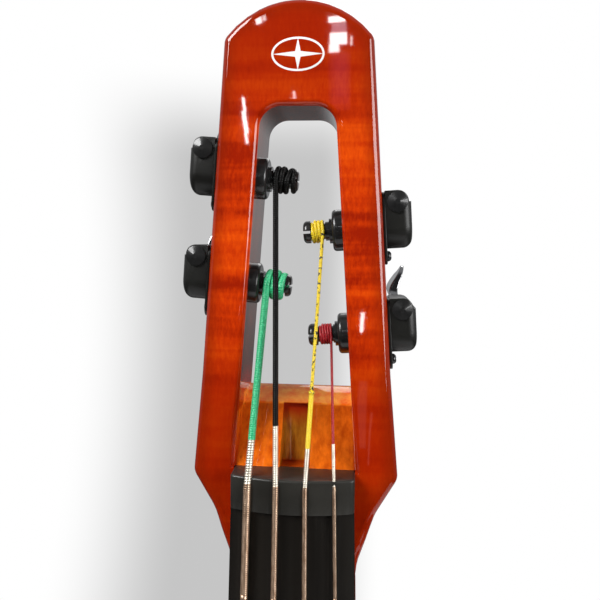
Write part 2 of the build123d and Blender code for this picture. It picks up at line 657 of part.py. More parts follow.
            # a gap between teeth lies straight above the post, where the worm's thread enters
            with PolarLocations(0, WHEEL_TEETH):
                root, rim = TOOTH_GAP
                corners = ((WHEEL_ROOT, -root), (WHEEL_ROOT, root), (8, rim), (8, -rim))
                Polygon(*corners, align=None, mode=Mode.SUBTRACT)
            Circle(WHEEL_BORE, mode=Mode.SUBTRACT)
        extrude(amount=WHEEL_THICKNESS)
    save(wheel.part, f"tuner_wheel_{name}")

    with BuildPart() as ridge:
        with BuildLine() as helix_line:
            Helix(WORM_LEAD, 4 * WORM_LEAD, WORM_CORE_RADIUS - 0.05, lefthand=s < 0)
        rise = WORM_TIP_RADIUS - WORM_CORE_RADIUS
        with BuildSketch(Plane(origin=(WORM_CORE_RADIUS - 0.05, 0, 0), x_dir=(1, 0, 0), z_dir=(0, 1, 0))):
            root = (-0.2, THREAD_ROOT)
            Polygon((root[0], -root[1]), root, (rise, THREAD_CREST), (rise, -THREAD_CREST), align=None)
        sweep(path=helix_line.wires()[0], is_frenet=True)

    with BuildPart() as worm:
        disc_back = -CASE_RADIUS - DISC_GAP
        disc_front = disc_back - DISC_THICKNESS
        point_reach, point_radius = DISC_POINT
        with BuildSketch(worm_plane(name, disc_back)):
            Circle(DISC_RADIUS)
        extrude(amount=-DISC_THICKNESS)
        with BuildSketch(worm_plane(name, disc_front)):
            Circle(DISC_RADIUS)
        with BuildSketch(worm_plane(name, -CASE_RADIUS - point_reach)):
            Circle(point_radius)
        loft()
        with BuildSketch(worm_plane(name, disc_back - 0.2)):
            Circle(SHAFT_RADIUS)
        extrude(amount=CASE_RADIUS + 1 - disc_back + 0.2)
        with BuildSketch(worm_plane(name, CASE_RADIUS + 0.4)):
            Circle(KEY_SHAFT_RADIUS)
        extrude(amount=KEY_START - CASE_RADIUS - 0.4)
        with BuildSketch(worm_plane(name, -WORM_LENGTH / 2)):
            Circle(WORM_CORE_RADIUS)
        extrude(amount=WORM_LENGTH)
        add(ridge.part.moved(worm_plane(name, -2 * WORM_LEAD).location))
    save(worm.part, f"tuner_worm_{name}")

    with BuildPart() as key:
        with BuildSketch(key_plane(name)):
            with BuildLine():
                neck_end = (KEY_START, KEY_SHAFT_RADIUS)
                points = [
                    neck_end,
                    (KEY_START + 3.0, 0.36 * KEY_HALF_SPAN),
                    (KEY_START + 6.0, 0.80 * KEY_HALF_SPAN),
                    (KEY_START + 10.5, KEY_HALF_SPAN),
                    (KEY_START + 16.5, 0.80 * KEY_HALF_SPAN),
                    (KEY_START + KEY_LENGTH, 0),
                ]
                Spline(*points, tangents=[(1, 0.2), (0, -1)])
                Line((KEY_START, 0), neck_end)
                Line((KEY_START + KEY_LENGTH, 0), (KEY_START, 0))
            make_face()
            mirror(about=Plane(origin=key_plane(name).origin, z_dir=key_plane(name).y_dir))
        extrude(amount=KEY_HALF_THICKNESS, both=True)
        ends = key_plane(name)
        end_on = ends.origin + Vector(0, KEY_START - 1, 0)
        with BuildSketch(Plane(origin=end_on, x_dir=ends.y_dir, z_dir=(0, 1, 0))):
            with BuildLine():
                wing = [(3.2, 1.0, 1.8), (8.4, 0.62, 1.3), (KEY_HALF_SPAN + 0.5, 0.0, 0.6)]
                upper = [(u, half - KEY_BULGE * bow) for u, bow, half in wing]
                lower = [(u, -half - KEY_BULGE * bow) for u, bow, half in wing]
                left_upper = [(-u, -v) for u, v in reversed(lower)]
                left_lower = [(-u, -v) for u, v in reversed(upper)]
                Spline(*left_upper, *upper)
                Line(upper[-1], lower[-1])
                Spline(*left_lower, *lower)
                Line(left_lower[0], left_upper[0])
            make_face()
        extrude(amount=KEY_LENGTH + 2, mode=Mode.INTERSECT)
    save(key.part, f"tuner_key_{name}")

    with BuildPart() as winding:
        start = -WINDING_START[name]
        wire = SILK[name] / 2
        rail_side = tuner_plane(name, 0)
        section = Plane(origin=rail_side.origin, x_dir=rail_side.z_dir, z_dir=rail_side.y_dir)
        reach = BARREL_RADIUS + 0.02
        with BuildSketch(section):
            for turn in range(TURNS[name]):
                with Locations((start - wire - turn * winding_pitch(name), -(reach + wire))):
                    Circle(wire)
            with BuildLine():
                first = start - wire
                last = first - (TURNS[name] - 1) * winding_pitch(name)
                middle = -reach - wire
                Polyline((first, -reach), (last, -reach), (last, middle), (first, middle), close=True)
            make_face()
        revolve(axis=Axis(section.origin, section.x_dir))
    save(winding.part, f"winding_{name}")

    with BuildPart() as plate_screw:
        with BuildSketch(tuner_plane(name, PLATE)):
            with Locations((-SCREW_DROP, 0)):
                Circle(SCREW_HEAD)
        extrude(amount=SCREW_HEAD_HEIGHT)
        crown = plate_screw.faces().sort_by(lambda f: abs(f.center().X))[-1]
        fillet(crown.edges(), 1.2)
        with BuildSketch(tuner_plane(name, PLATE)):
            with Locations((-SCREW_DROP, 0)):
                Circle(SCREW_SHANK)
        extrude(amount=-PLATE)
        with BuildSketch(tuner_plane(name, 0)):
            with Locations((-SCREW_DROP, 0)):
                Circle(SCREW_CORE)
        extrude(amount=-SCREW_LENGTH)
        with BuildSketch(tuner_plane(name, PLATE + 0.8)):
            with Locations((-SCREW_DROP, 0)):
                Rectangle(2.4, 0.5)
                Rectangle(0.5, 2.4)
        extrude(amount=2, mode=Mode.SUBTRACT)
    plate_screws.append(plate_screw.part)

save(Compound(children=plates), "tuner_plates")
save(Compound(children=bushings), "post_bushings")
save(Compound(children=plate_screws), "tuner_screws")

# ---- Strings --------------------------------------------------------------------------------------
balls = []
for name in STRINGS:
    with BuildPart() as string:
        add(string_run(name, 0))
    save(string.part, f"string_{name}")
    with BuildPart() as ball:
        with BuildSketch(Plane(origin=string_points(name)[0], z_dir=(0, 0, 1))):
            Circle(BALL_RADIUS)
            Circle(WOUND[name] / 2, mode=Mode.SUBTRACT)
        extrude(amount=BALL_LENGTH)
    balls.append(ball.part)
save(Compound(children=balls), "string_ends")

# ---- Body -----------------------------------------------------------------------------------------
SIDE_POINTS = (
    (0, -487), (32, -492), (54, -514), (66, -560), (74, -640), (76, -720), (72, -800), (66, -870),
    (68, -940), (82, -1005), (91, -1065), (88, -1130), (68, -1177), (34, -1199), (0, -1203),
)

other_side = [(-x, z) for x, z in reversed(SIDE_POINTS[1:-1])]
with BuildSketch(front(0)) as body_outline:
    with BuildLine():
        Spline(*SIDE_POINTS, *other_side, periodic=True)
    make_face()


def arch_section(inset):
    """A thick section whose back is the body's arched back, set in by that much."""
    width = 115
    radius = BACK_ARCH_RADIUS - inset
    with BuildSketch(across(-1210)) as section:
        with BuildLine():
            edge = BACK_DEPTH - inset - sagitta(radius, width)
            ThreePointArc((-width, edge), (0, BACK_DEPTH - inset), (width, edge))
            Polyline((width, edge), (width, 10), (-width, 10), (-width, edge))
        make_face()
    return section.sketch


def prism(outline, shallow, deep):
    """The outline pushed through the body between two depths."""
    with BuildPart() as block:
        add(outline.moved(Location((0, deep, 0))))
        extrude(amount=deep - shallow, dir=(0, -1, 0))
    return block.part


def pocket(x, height, width, length, corner, shallow, deep):
    with BuildPart() as cut:
        with BuildSketch(front(deep)):
            with Locations((x, height)):
                RectangleRounded(width, length, corner)
        extrude(amount=deep - shallow)
    return cut.part


def drill(x, height, radius, shallow, deep):
    with BuildPart() as cut:
        with BuildSketch(front(deep)):
            with Locations((x, height)):
                Circle(radius)
        extrude(amount=deep - shallow)
    return cut.part


tenon_middle, tenon_length = (TENON[0] + TENON[1]) / 2, TENON[0] - TENON[1]
tenon_pocket = pocket(0, tenon_middle, 2 * TENON_HALF_WIDTH, tenon_length, POCKET_CORNER, 30, TENON_DEPTH)
cavity_x, cavity_z, cavity_width, cavity_length = CAVITY
front_cavity = pocket(*CAVITY, POCKET_CORNER, FRONT_DEPTH + 5, SEAM_DEPTH)
back_cavity = pocket(*CAVITY, POCKET_CORNER, FRONT_DEPTH + 5, BACK_DEPTH + 12)

with BuildPart() as jack_space:
    with BuildSketch(side(JACK_SEAT_X)):
        with Locations((JACK_DEPTH, JACK_HEIGHT)):
            RectangleRounded(18.4, 34.4, 3.2)
    extrude(amount=20)
    with BuildSketch(side(JACK_SEAT_X)):
        with Locations((JACK_DEPTH, JACK_HEIGHT)):
            Circle(6.2)
    extrude(amount=-26)
    with BuildSketch(side(JACK_SEAT_X)):
        with Locations((JACK_DEPTH, JACK_HEIGHT - 12.5), (JACK_DEPTH, JACK_HEIGHT + 12.5)):
            Circle(1.1)
    extrude(amount=-9)

with BuildPart() as body_top:
    add(prism(body_outline.sketch, FRONT_DEPTH, SEAM_DEPTH))
    face = body_top.faces().sort_by(Axis.Y)[0]
    fillet(face.edges(), BODY_ROUND)
    add(tenon_pocket, mode=Mode.SUBTRACT)
    add(front_cavity, mode=Mode.SUBTRACT)
    for x, z in KNOB_SPOTS.values():
        add(drill(x, z, 3.7, 20, 60), mode=Mode.SUBTRACT)
    add(drill(*TOGGLE_SPOT, 3.1, 20, 60), mode=Mode.SUBTRACT)
    for x in (-TAIL_SCREW_X, TAIL_SCREW_X):
        add(drill(x, TAIL_TOP - TAIL_LENGTH / 2, 2.0, 20, 60), mode=Mode.SUBTRACT)
    add(jack_space.part, mode=Mode.SUBTRACT)
save(body_top.part, "body_top")

cover_width = cavity_width + 2 * COVER_MARGIN
cover_length = cavity_length + 2 * COVER_MARGIN
cover_blank = pocket(cavity_x, cavity_z, cover_width, cover_length, 8, 60, 90)
with BuildPart() as cover_floor:
    add(arch_section(COVER_THICKNESS))
    extrude(amount=BODY_LENGTH)

stand_seat = BACK_DEPTH - STAND_PLATE[2]
stand_boss_end = BACK_DEPTH - STAND_BOSS_DEPTH
with BuildPart() as body_back:
    add(arch_section(0))
    extrude(amount=BODY_LENGTH)
    add(prism(body_outline.sketch, SEAM_DEPTH, BACK_DEPTH + 5), mode=Mode.INTERSECT)
    rim = [e for e in body_back.edges() if e.center().Y > NECK_Y + SEAM_DEPTH + 2]
    fillet(rim, BODY_BACK_ROUND)
    add(tenon_pocket, mode=Mode.SUBTRACT)
    add(back_cavity, mode=Mode.SUBTRACT)
    add(cover_blank - cover_floor.part, mode=Mode.SUBTRACT)
    for x, z in BOLT_SPOTS:
        add(drill(x, z, BOLT_RADIUS + 0.1, 50, 90), mode=Mode.SUBTRACT)
        add(drill(x, z, FERRULE_RADIUS, FERRULE_DEPTH, 90), mode=Mode.SUBTRACT)
    add(pocket(0, STAND_HEIGHT, *STAND_PLATE[:2], 8, stand_seat, 90), mode=Mode.SUBTRACT)
    add(drill(0, STAND_HEIGHT, STAND_BOSS_RADIUS, stand_boss_end, 90), mode=Mode.SUBTRACT)
    for x, z in STAND_SCREW_SPOTS:
        add(drill(x, z, 1.8, 56, 90), mode=Mode.SUBTRACT)
    for z in COVER_SCREW_HEIGHTS:
        add(drill(cavity_x, z, 1.1, 60, 90), mode=Mode.SUBTRACT)
    for x in (-TAIL_SCREW_X, TAIL_SCREW_X):
        add(drill(x, TAIL_TOP - TAIL_LENGTH / 2, 2.0, 20, 62), mode=Mode.SUBTRACT)
    add(jack_space.part, mode=Mode.SUBTRACT)
save(body_back.part, "body_back")

with BuildPart() as cavity_cover:
    add(arch_section(0))
    extrude(amount=BODY_LENGTH)
    add(cover_blank, mode=Mode.INTERSECT)
    add(cover_floor.part, mode=Mode.SUBTRACT)
    for z in COVER_SCREW_HEIGHTS:
        add(drill(cavity_x, z, 1.3, 60, 90), mode=Mode.SUBTRACT)
save(cavity_cover.part, "cavity_cover")

cover_screws = []
for z in COVER_SCREW_HEIGHTS:
    surface = BACK_DEPTH - sagitta(BACK_ARCH_RADIUS, cavity_x)
    with BuildPart() as cover_screw:
        add(drill(cavity_x, z, 2.6, surface + 0.6, surface + 2.0))
        fillet(cover_screw.faces().sort_by(Axis.Y)[-1].edges(), 0.9)
        add(drill(cavity_x, z, 1.1, surface - 10, surface + 1))
        with BuildSketch(front(surface + 2.2)):
            with Locations((cavity_x, z)):
                Rectangle(3.0, 0.6)
                Rectangle(0.6, 3.0)
        extrude(amount=0.9, mode=Mode.SUBTRACT)
    cover_screws.append(cover_screw.part)
save(Compound(children=cover_screws), "cover_screws")

# ---- Neck bolts and their ferrules ----------------------------------------------------------------
bolt_seat = BACK_DEPTH - BOLT_HEAD[1]
ferrules = []
neck_bolts = []
for x, z in BOLT_SPOTS:
    with BuildPart() as ferrule:
        add(drill(x, z, FERRULE_RADIUS, FERRULE_DEPTH, BACK_DEPTH - 0.6))
        add(drill(x, z, BOLT_RADIUS + 0.1, FERRULE_DEPTH, BACK_DEPTH), mode=Mode.SUBTRACT)
        add(drill(x, z, FERRULE_BORE, bolt_seat, BACK_DEPTH), mode=Mode.SUBTRACT)
        fillet(ferrule.faces().sort_by(Axis.Y)[-1].edges().sort_by(SortBy.RADIUS)[-1], 0.8)
    ferrules.append(ferrule.part)
    with BuildPart() as bolt:
        add(drill(x, z, BOLT_HEAD[0], bolt_seat, BACK_DEPTH - 0.4))
        add(drill(x, z, BOLT_RADIUS, 26, bolt_seat))
        with BuildSketch(front(BACK_DEPTH)):
            with Locations((x, z)):
                RegularPolygon(2.0, 6, major_radius=False)
        extrude(amount=2.2, mode=Mode.SUBTRACT)
    neck_bolts.append(bolt.part)
save(Compound(children=ferrules), "neck_ferrules")
save(Compound(children=neck_bolts), "neck_bolts")

# ---- Stand socket ---------------------------------------------------------------------------------
with BuildPart() as stand_plate:
    add(pocket(0, STAND_HEIGHT, *STAND_PLATE[:2], 8, stand_seat, BACK_DEPTH))
    fillet(stand_plate.faces().sort_by(Axis.Y)[-1].edges(), 0.8)
    add(drill(0, STAND_HEIGHT, STAND_BOSS_RADIUS, stand_boss_end, stand_seat))
    add(drill(0, STAND_HEIGHT, STAND_THREAD_RADIUS, stand_boss_end - 10, 90), mode=Mode.SUBTRACT)
    for x, z in STAND_SCREW_SPOTS:
        add(drill(x, z, 2.1, 60, 90), mode=Mode.SUBTRACT)
        add(drill(x, z, 4.0, BACK_DEPTH - 2.4, 90), mode=Mode.SUBTRACT)
save(stand_plate.part, "stand_plate")

stand_screws = []
for x, z in STAND_SCREW_SPOTS:
    with BuildPart() as stand_screw:
        add(drill(x, z, 3.8, BACK_DEPTH - 2.4, BACK_DEPTH - 0.2))
        add(drill(x, z, 1.8, BACK_DEPTH - 22, BACK_DEPTH - 2.4))
        with BuildSketch(front(BACK_DEPTH)):
            with Locations((x, z)):
                Rectangle(4.4, 0.9)
                Rectangle(0.9, 4.4)
        extrude(amount=1.4, mode=Mode.SUBTRACT)
    stand_screws.append(stand_screw.part)
save(Compound(children=stand_screws), "stand_screws")

# ---- Bridge, pickup and tailpiece -----------------------------------------------------------------
BRIDGE_BASE = FRONT_DEPTH - PICKUP_THICKNESS
with BuildPart() as bridge:
    with BuildSketch(across(-SCALE_LENGTH - 12)):
        with BuildLine():
            top_edge = sagitta(BRIDGE_RADIUS, 49) - BRIDGE_CROWN
            ThreePointArc((-49, top_edge), (0, -BRIDGE_CROWN), (49, top_edge))
            Spline((49, top_edge), (46.5, 4), (53, BRIDGE_BASE - 4), tangents=[(0, 1), (0.4, 1)])
            Polyline((53, BRIDGE_BASE - 4), (53, BRIDGE_BASE), (27, BRIDGE_BASE))
            Spline((27, BRIDGE_BASE), (0, 10), (-27, BRIDGE_BASE), tangents=[(-0.2, -1), (-0.2, 1)])
            Polyline((-27, BRIDGE_BASE), (-53, BRIDGE_BASE), (-53, BRIDGE_BASE - 4))
            Spline((-53, BRIDGE_BASE - 4), (-46.5, 4), (-49, top_edge), tangents=[(0.4, -1), (0, -1)])
        make_face()
        with Locations((-27, -4), (27, -4)):
            Ellipse(5.5, 9, mode=Mode.SUBTRACT)
    extrude(amount=24)
    with BuildSketch(side(0)):
        with BuildLine():
            foot, tip, middle = BRIDGE_BASE + 1, -BRIDGE_CROWN - 2, -SCALE_LENGTH
            foot_corners = (foot, middle - 7), (foot, middle + 6)
            Polyline(*foot_corners, (tip, middle + 2.4), (tip, middle - 2.6), close=True)
        make_face()
    extrude(amount=70, both=True, mode=Mode.INTERSECT)
    for name in STRINGS:
        add(string_run(name, STRING_SLOT), mode=Mode.SUBTRACT)
save(bridge.part, "bridge")

with BuildPart() as pickup:
    for x in (-40, 40):
        add(pocket(x, -SCALE_LENGTH - 0.5, 27, 14, 2, BRIDGE_BASE, FRONT_DEPTH))
save(pickup.part, "bridge_pickups")

with BuildPart() as tailpiece:
    add(pocket(0, TAIL_TOP - TAIL_LENGTH / 2, 92, TAIL_LENGTH, 7, TAIL_FRONT, FRONT_DEPTH))
    fillet(tailpiece.faces().sort_by(Axis.Y)[0].edges(), 3.0)
    for name in STRINGS:
        start = string_points(name)[0]
        with BuildSketch(Plane(origin=start + Vector(0, 0, 5), z_dir=(0, 0, 1))):
            Circle(3.4)
        extrude(amount=-30, mode=Mode.SUBTRACT)
        with BuildSketch(Plane(origin=start, z_dir=(0, 0, 1))):
            Circle(WOUND[name] / 2 + 0.35)
        extrude(amount=40, mode=Mode.SUBTRACT)
    for x in (-TAIL_SCREW_X, TAIL_SCREW_X):
        add(drill(x, TAIL_TOP - TAIL_LENGTH / 2, 2.6, 0, 60), mode=Mode.SUBTRACT)
        add(drill(x, TAIL_TOP - TAIL_LENGTH / 2, 4.8, 0, TAIL_FRONT + 5), mode=Mode.SUBTRACT)
save(tailpiece.part, "tailpiece")
tail_screws = []
for x in (-TAIL_SCREW_X, TAIL_SCREW_X):
    with BuildPart() as tail_screw:
        add(drill(x, TAIL_TOP - TAIL_LENGTH / 2, 4.5, TAIL_FRONT + 0.6, TAIL_FRONT + 5))
        add(drill(x, TAIL_TOP - TAIL_LENGTH / 2, 2.0, TAIL_FRONT + 5, 60))
        with BuildSketch(front(TAIL_FRONT + 3.2)):
            with Locations((x, TAIL_TOP - TAIL_LENGTH / 2)):
                RegularPolygon(2.0, 6, major_radius=False)
        extrude(amount=6, mode=Mode.SUBTRACT)
    tail_screws.append(tail_screw.part)
save(Compound(children=tail_screws), "tailpiece_screws")

# ---- Controls -------------------------------------------------------------------------------------
pots = []
for name, (x, z) in KNOB_SPOTS.items():
    with BuildPart() as pot:
        add(drill(x, z, 8.0, FRONT_DEPTH + 5, FRONT_DEPTH + 14))
        add(drill(x, z, 3.6, FRONT_DEPTH - 3, FRONT_DEPTH + 6))
        add(drill(x, z, 5.8, FRONT_DEPTH - 2.2, FRONT_DEPTH))
        add(drill(x, z, KNOB_SHAFT + 0.05, FRONT_DEPTH - 10, FRONT_DEPTH + 12), mode=Mode.SUBTRACT)
    pots.append(pot.part)
    with BuildPart() as shaft:
        add(drill(x, z, KNOB_SHAFT, FRONT_DEPTH - 14, FRONT_DEPTH + 11))
    save(shaft.part, f"shaft_{name}")
    with BuildPart() as knob:
        add(drill(x, z, KNOB_RADIUS, FRONT_DEPTH - 16, FRONT_DEPTH - 0.8))
        fillet(knob.faces().sort_by(Axis.Y)[0].edges(), 1.6)
        with BuildSketch(front(FRONT_DEPTH - 1.2)):
            with Locations((x, z)):
                with PolarLocations(KNOB_RADIUS + 0.25, 28):
                    Circle(0.5)
        extrude(amount=12, mode=Mode.SUBTRACT)
        add(drill(x, z, 6.6, FRONT_DEPTH - 3.6, 60), mode=Mode.SUBTRACT)
        add(drill(x, z, KNOB_SHAFT, FRONT_DEPTH - 14, 60), mode=Mode.SUBTRACT)
        with BuildSketch(front(FRONT_DEPTH - 15.5)):
            with Locations((x, z + KNOB_RADIUS - 4)):
                Rectangle(0.8, 5)
        extrude(amount=2, mode=Mode.SUBTRACT)
    save(knob.part, f"knob_{name}")
save(Compound(children=pots), "pots")

toggle_x, toggle_z = TOGGLE_SPOT
toggle_pin_end = Plane(origin=place(toggle_x - TOGGLE_PIN_REACH, TOGGLE_PIVOT, toggle_z), z_dir=(1, 0, 0))
with BuildPart() as toggle_body:
    add(pocket(toggle_x, toggle_z, 9, 12, 1, FRONT_DEPTH + 5, FRONT_DEPTH + 15))
    add(drill(toggle_x, toggle_z, 3.0, FRONT_DEPTH - 4, FRONT_DEPTH + 6))
    with BuildSketch(front(FRONT_DEPTH)):
        with Locations((toggle_x, toggle_z)):
            RegularPolygon(4.2, 6, major_radius=False)
    extrude(amount=2)
    add(drill(toggle_x, toggle_z, TOGGLE_BORE, FRONT_DEPTH - 5, FRONT_DEPTH + 2), mode=Mode.SUBTRACT)
    # the lever tips about a pin across the bore
    with BuildSketch(toggle_pin_end):
        Circle(TOGGLE_PIN_RADIUS)
    extrude(amount=2 * TOGGLE_PIN_REACH)
save(toggle_body.part, "toggle_body")
with BuildPart() as toggle_lever:
    with Locations(place(toggle_x, TOGGLE_PIVOT, toggle_z)):
        Sphere(2.14)
    with BuildSketch(front(TOGGLE_PIVOT)):
        with Locations((toggle_x, toggle_z)):
            Circle(1.1)
    with BuildSketch(front(FRONT_DEPTH - 17)):
        with Locations((toggle_x, toggle_z)):
            Circle(1.7)
    loft()
    with Locations(place(toggle_x, FRONT_DEPTH - 17, toggle_z)):
        Sphere(2.1)
    with BuildSketch(toggle_pin_end):
        Circle(TOGGLE_PIN_RADIUS + 0.05)
    extrude(amount=2 * TOGGLE_PIN_REACH, mode=Mode.SUBTRACT)
save(toggle_lever.part, "toggle_lever")

with BuildPart() as jack:
    with BuildSketch(side(JACK_SEAT_X)):
        with Locations((JACK_DEPTH, JACK_HEIGHT)):
            Circle(5.0)
    extrude(amount=-24)
    with BuildSketch(side(JACK_SEAT_X)):
        with Locations((JACK_DEPTH, JACK_HEIGHT)):
            Circle(4.6)
    extrude(amount=4.6)
    with BuildSketch(side(JACK_SEAT_X + 1.5)):
        with Locations((JACK_DEPTH, JACK_HEIGHT)):
            RegularPolygon(6.3, 6, major_radius=False)
    extrude(amount=2.2)
    with BuildSketch(side(JACK_SEAT_X + 6)):
        with Locations((JACK_DEPTH, JACK_HEIGHT)):
            Circle(JACK_BORE)
    extrude(amount=-28, mode=Mode.SUBTRACT)
save(jack.part, "output_jack")
with BuildPart() as jack_plate:
    with BuildSketch(side(JACK_SEAT_X)):
        with Locations((JACK_DEPTH, JACK_HEIGHT)):
            RectangleRounded(18, 34, 3)
            Circle(4.65, mode=Mode.SUBTRACT)
        with Locations((JACK_DEPTH, JACK_HEIGHT - 12.5), (JACK_DEPTH, JACK_HEIGHT + 12.5)):
            Circle(1.3, mode=Mode.SUBTRACT)
    extrude(amount=1.5)
save(jack_plate.part, "jack_plate")
jack_screws = []
for z in (JACK_HEIGHT - 12.5, JACK_HEIGHT + 12.5):
    with BuildPart() as jack_screw:
        with BuildSketch(side(JACK_SEAT_X + 1.5)):
            with Locations((JACK_DEPTH, z)):
                Circle(2.5)
        extrude(amount=1.3)
        fillet(jack_screw.faces().sort_by(Axis.X)[-1].edges(), 0.8)
        with BuildSketch(side(JACK_SEAT_X + 1.5)):
            with Locations((JACK_DEPTH, z)):
                Circle(1.1)
        extrude(amount=-10)
        with BuildSketch(side(JACK_SEAT_X + 2.1)):
            with Locations((JACK_DEPTH, z)):
                Rectangle(2.8, 0.6)
                Rectangle(0.6, 2.8)
        extrude(amount=2, mode=Mode.SUBTRACT)
    jack_screws.append(jack_screw.part)
save(Compound(children=jack_screws), "jack_screws")
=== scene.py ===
import json
import math

import bmesh
import bpy
from mathutils import Matrix, Vector


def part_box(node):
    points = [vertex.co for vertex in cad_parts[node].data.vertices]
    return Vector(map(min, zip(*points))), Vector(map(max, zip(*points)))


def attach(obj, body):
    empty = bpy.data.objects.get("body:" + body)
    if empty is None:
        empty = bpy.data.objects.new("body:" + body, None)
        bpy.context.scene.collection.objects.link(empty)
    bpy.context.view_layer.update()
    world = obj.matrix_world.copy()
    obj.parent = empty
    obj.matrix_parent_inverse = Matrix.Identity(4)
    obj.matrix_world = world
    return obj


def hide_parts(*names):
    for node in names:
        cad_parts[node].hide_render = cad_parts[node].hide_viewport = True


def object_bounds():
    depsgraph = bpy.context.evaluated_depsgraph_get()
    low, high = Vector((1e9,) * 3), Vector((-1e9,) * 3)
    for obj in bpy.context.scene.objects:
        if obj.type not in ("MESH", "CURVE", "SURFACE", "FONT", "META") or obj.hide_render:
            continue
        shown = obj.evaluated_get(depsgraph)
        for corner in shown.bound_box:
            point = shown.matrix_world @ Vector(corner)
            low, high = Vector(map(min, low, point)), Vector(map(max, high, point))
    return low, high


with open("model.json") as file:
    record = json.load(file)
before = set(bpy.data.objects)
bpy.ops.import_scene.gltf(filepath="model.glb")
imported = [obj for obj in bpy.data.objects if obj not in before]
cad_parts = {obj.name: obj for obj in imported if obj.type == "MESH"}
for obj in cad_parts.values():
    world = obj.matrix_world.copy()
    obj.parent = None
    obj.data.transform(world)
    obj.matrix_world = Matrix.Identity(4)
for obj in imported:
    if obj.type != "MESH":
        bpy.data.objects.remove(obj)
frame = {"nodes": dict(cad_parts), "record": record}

MM = 0.001
CAD_LOW, CAD_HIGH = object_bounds()

# ---- Places, in the row's frame, in metres ----------------------------------------------------------
STRINGS = ("e", "a", "d", "g")
NUT_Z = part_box("nut")[0].z                  # the nut's lower edge
GLUE_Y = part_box("fingerboard")[1].y         # the plane on which the fingerboard is glued
BRIDGE_Z = (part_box("bridge")[0].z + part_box("bridge")[1].z) / 2
WOUND = {"e": 2.7, "a": 2.1, "d": 1.7, "g": 1.3}       # diameters, mm
SILK = {"e": 2.7, "a": 2.1, "d": 1.3, "g": 1.0}
SILK_END = {"e": 24.9, "a": 30.6, "d": 23.1, "g": 23.9}  # where the silk stops, mm above the nut's edge
BARREL = 2.85                                # radius of the post's waist, mm
TURNS = {"e": 3, "a": 3, "d": 4, "g": 5}


def joint(name):
    return next(j for j in frame["record"]["behaviour"]["joints"] if j["name"] == name)


def mm(x, depth, height):
    """A point given as x, depth behind the glue plane and height above the nut's edge, in mm."""
    return Vector((x * MM, GLUE_Y + depth * MM, NUT_Z + height * MM))


# ---- Node materials ---------------------------------------------------------------------------------
class Nodes:
    """A short way to write a material's nodes."""

    def __init__(self, name):
        self.material = bpy.data.materials.new(name)
        self.material.use_nodes = True
        self.tree = self.material.node_tree
        self.tree.nodes.clear()
        self.out = self.tree.nodes.new("ShaderNodeOutputMaterial")
        self.shader = self.tree.nodes.new("ShaderNodeBsdfPrincipled")
        self.tree.links.new(self.shader.outputs[0], self.out.inputs[0])

    def set(self, **values):
        for key, value in values.items():
            self.shader.inputs[key.replace("_", " ")].default_value = value

    def link(self, source, target):
        self.tree.links.new(source, target)

    def add(self, kind, **settings):
        node = self.tree.nodes.new("ShaderNode" + kind)
        for key, value in settings.items():
            setattr(node, key, value)
        return node

    def position(self):
        return self.add("TexCoord").outputs["Object"]

    def moved(self, vector, scale, rotation=(0, 0, 0)):
        node = self.add("Mapping")
        node.inputs["Scale"].default_value = scale
        node.inputs["Rotation"].default_value = rotation
        self.link(vector, node.inputs["Vector"])
        return node.outputs[0]

    def noise(self, vector, scale, detail=3.0, rough=0.55, distortion=0.0):
        node = self.add("TexNoise")
        node.inputs["Scale"].default_value = scale
        node.inputs["Detail"].default_value = detail
        node.inputs["Roughness"].default_value = rough
        node.inputs["Distortion"].default_value = distortion
        self.link(vector, node.inputs["Vector"])
        return node.outputs["Fac"]

    def ramp(self, factor, *stops):
        node = self.add("ValToRGB")
        ramp = node.color_ramp
        while len(ramp.elements) < len(stops):
            ramp.elements.new(0.5)
        for element, (place, colour) in zip(ramp.elements, stops):
            element.position = place
            element.color = (*colour, 1)
        self.link(factor, node.inputs["Fac"])
        return node.outputs["Color"]

    def mix(self, factor, one, two):
        node = self.add("Mix", data_type="RGBA", blend_type="MIX")
        sockets = (node.inputs["Factor"], node.inputs[6], node.inputs[7])
        for socket, value in zip(sockets, (factor, one, two)):
            if isinstance(value, bpy.types.NodeSocket):
                self.link(value, socket)
            elif isinstance(value, tuple):
                socket.default_value = (*value, 1)
            else:
                socket.default_value = value
        return node.outputs[2]

    def math(self, operation, one, two=0.0):
        node = self.add("Math", operation=operation)
        for socket, value in ((node.inputs[0], one), (node.inputs[1], two)):
            if isinstance(value, bpy.types.NodeSocket):
                self.link(value, socket)
            else:
                socket.default_value = value
        return node.outputs[0]

    def spread(self, value, low, high, to_low=0.0, to_high=1.0, smooth=True):
        node = self.add("MapRange")
        node.interpolation_type = "SMOOTHSTEP" if smooth else "LINEAR"
        node.inputs["From Min"].default_value = low
        node.inputs["From Max"].default_value = high
        node.inputs["To Min"].default_value = to_low
        node.inputs["To Max"].default_value = to_high
        self.link(value, node.inputs["Value"])
        return node.outputs[0]

    def xyz(self, vector):
        node = self.add("SeparateXYZ")
        self.link(vector, node.inputs[0])
        return node.outputs

    def product(self, *factors):
        whole = factors[0]
        for factor in factors[1:]:
            whole = self.math("MULTIPLY", whole, factor)
        return whole

    def colour(self, value):
        self.link(value, self.shader.inputs["Base Color"])

    def rough(self, value):
        self.link(value, self.shader.inputs["Roughness"])

    def bump(self, height, strength, distance, target="Normal"):
        node = self.add("Bump")
        node.inputs["Strength"].default_value = strength
        node.inputs["Distance"].default_value = distance
        self.link(height, node.inputs["Height"])
        self.link(node.outputs[0], self.shader.inputs[target])


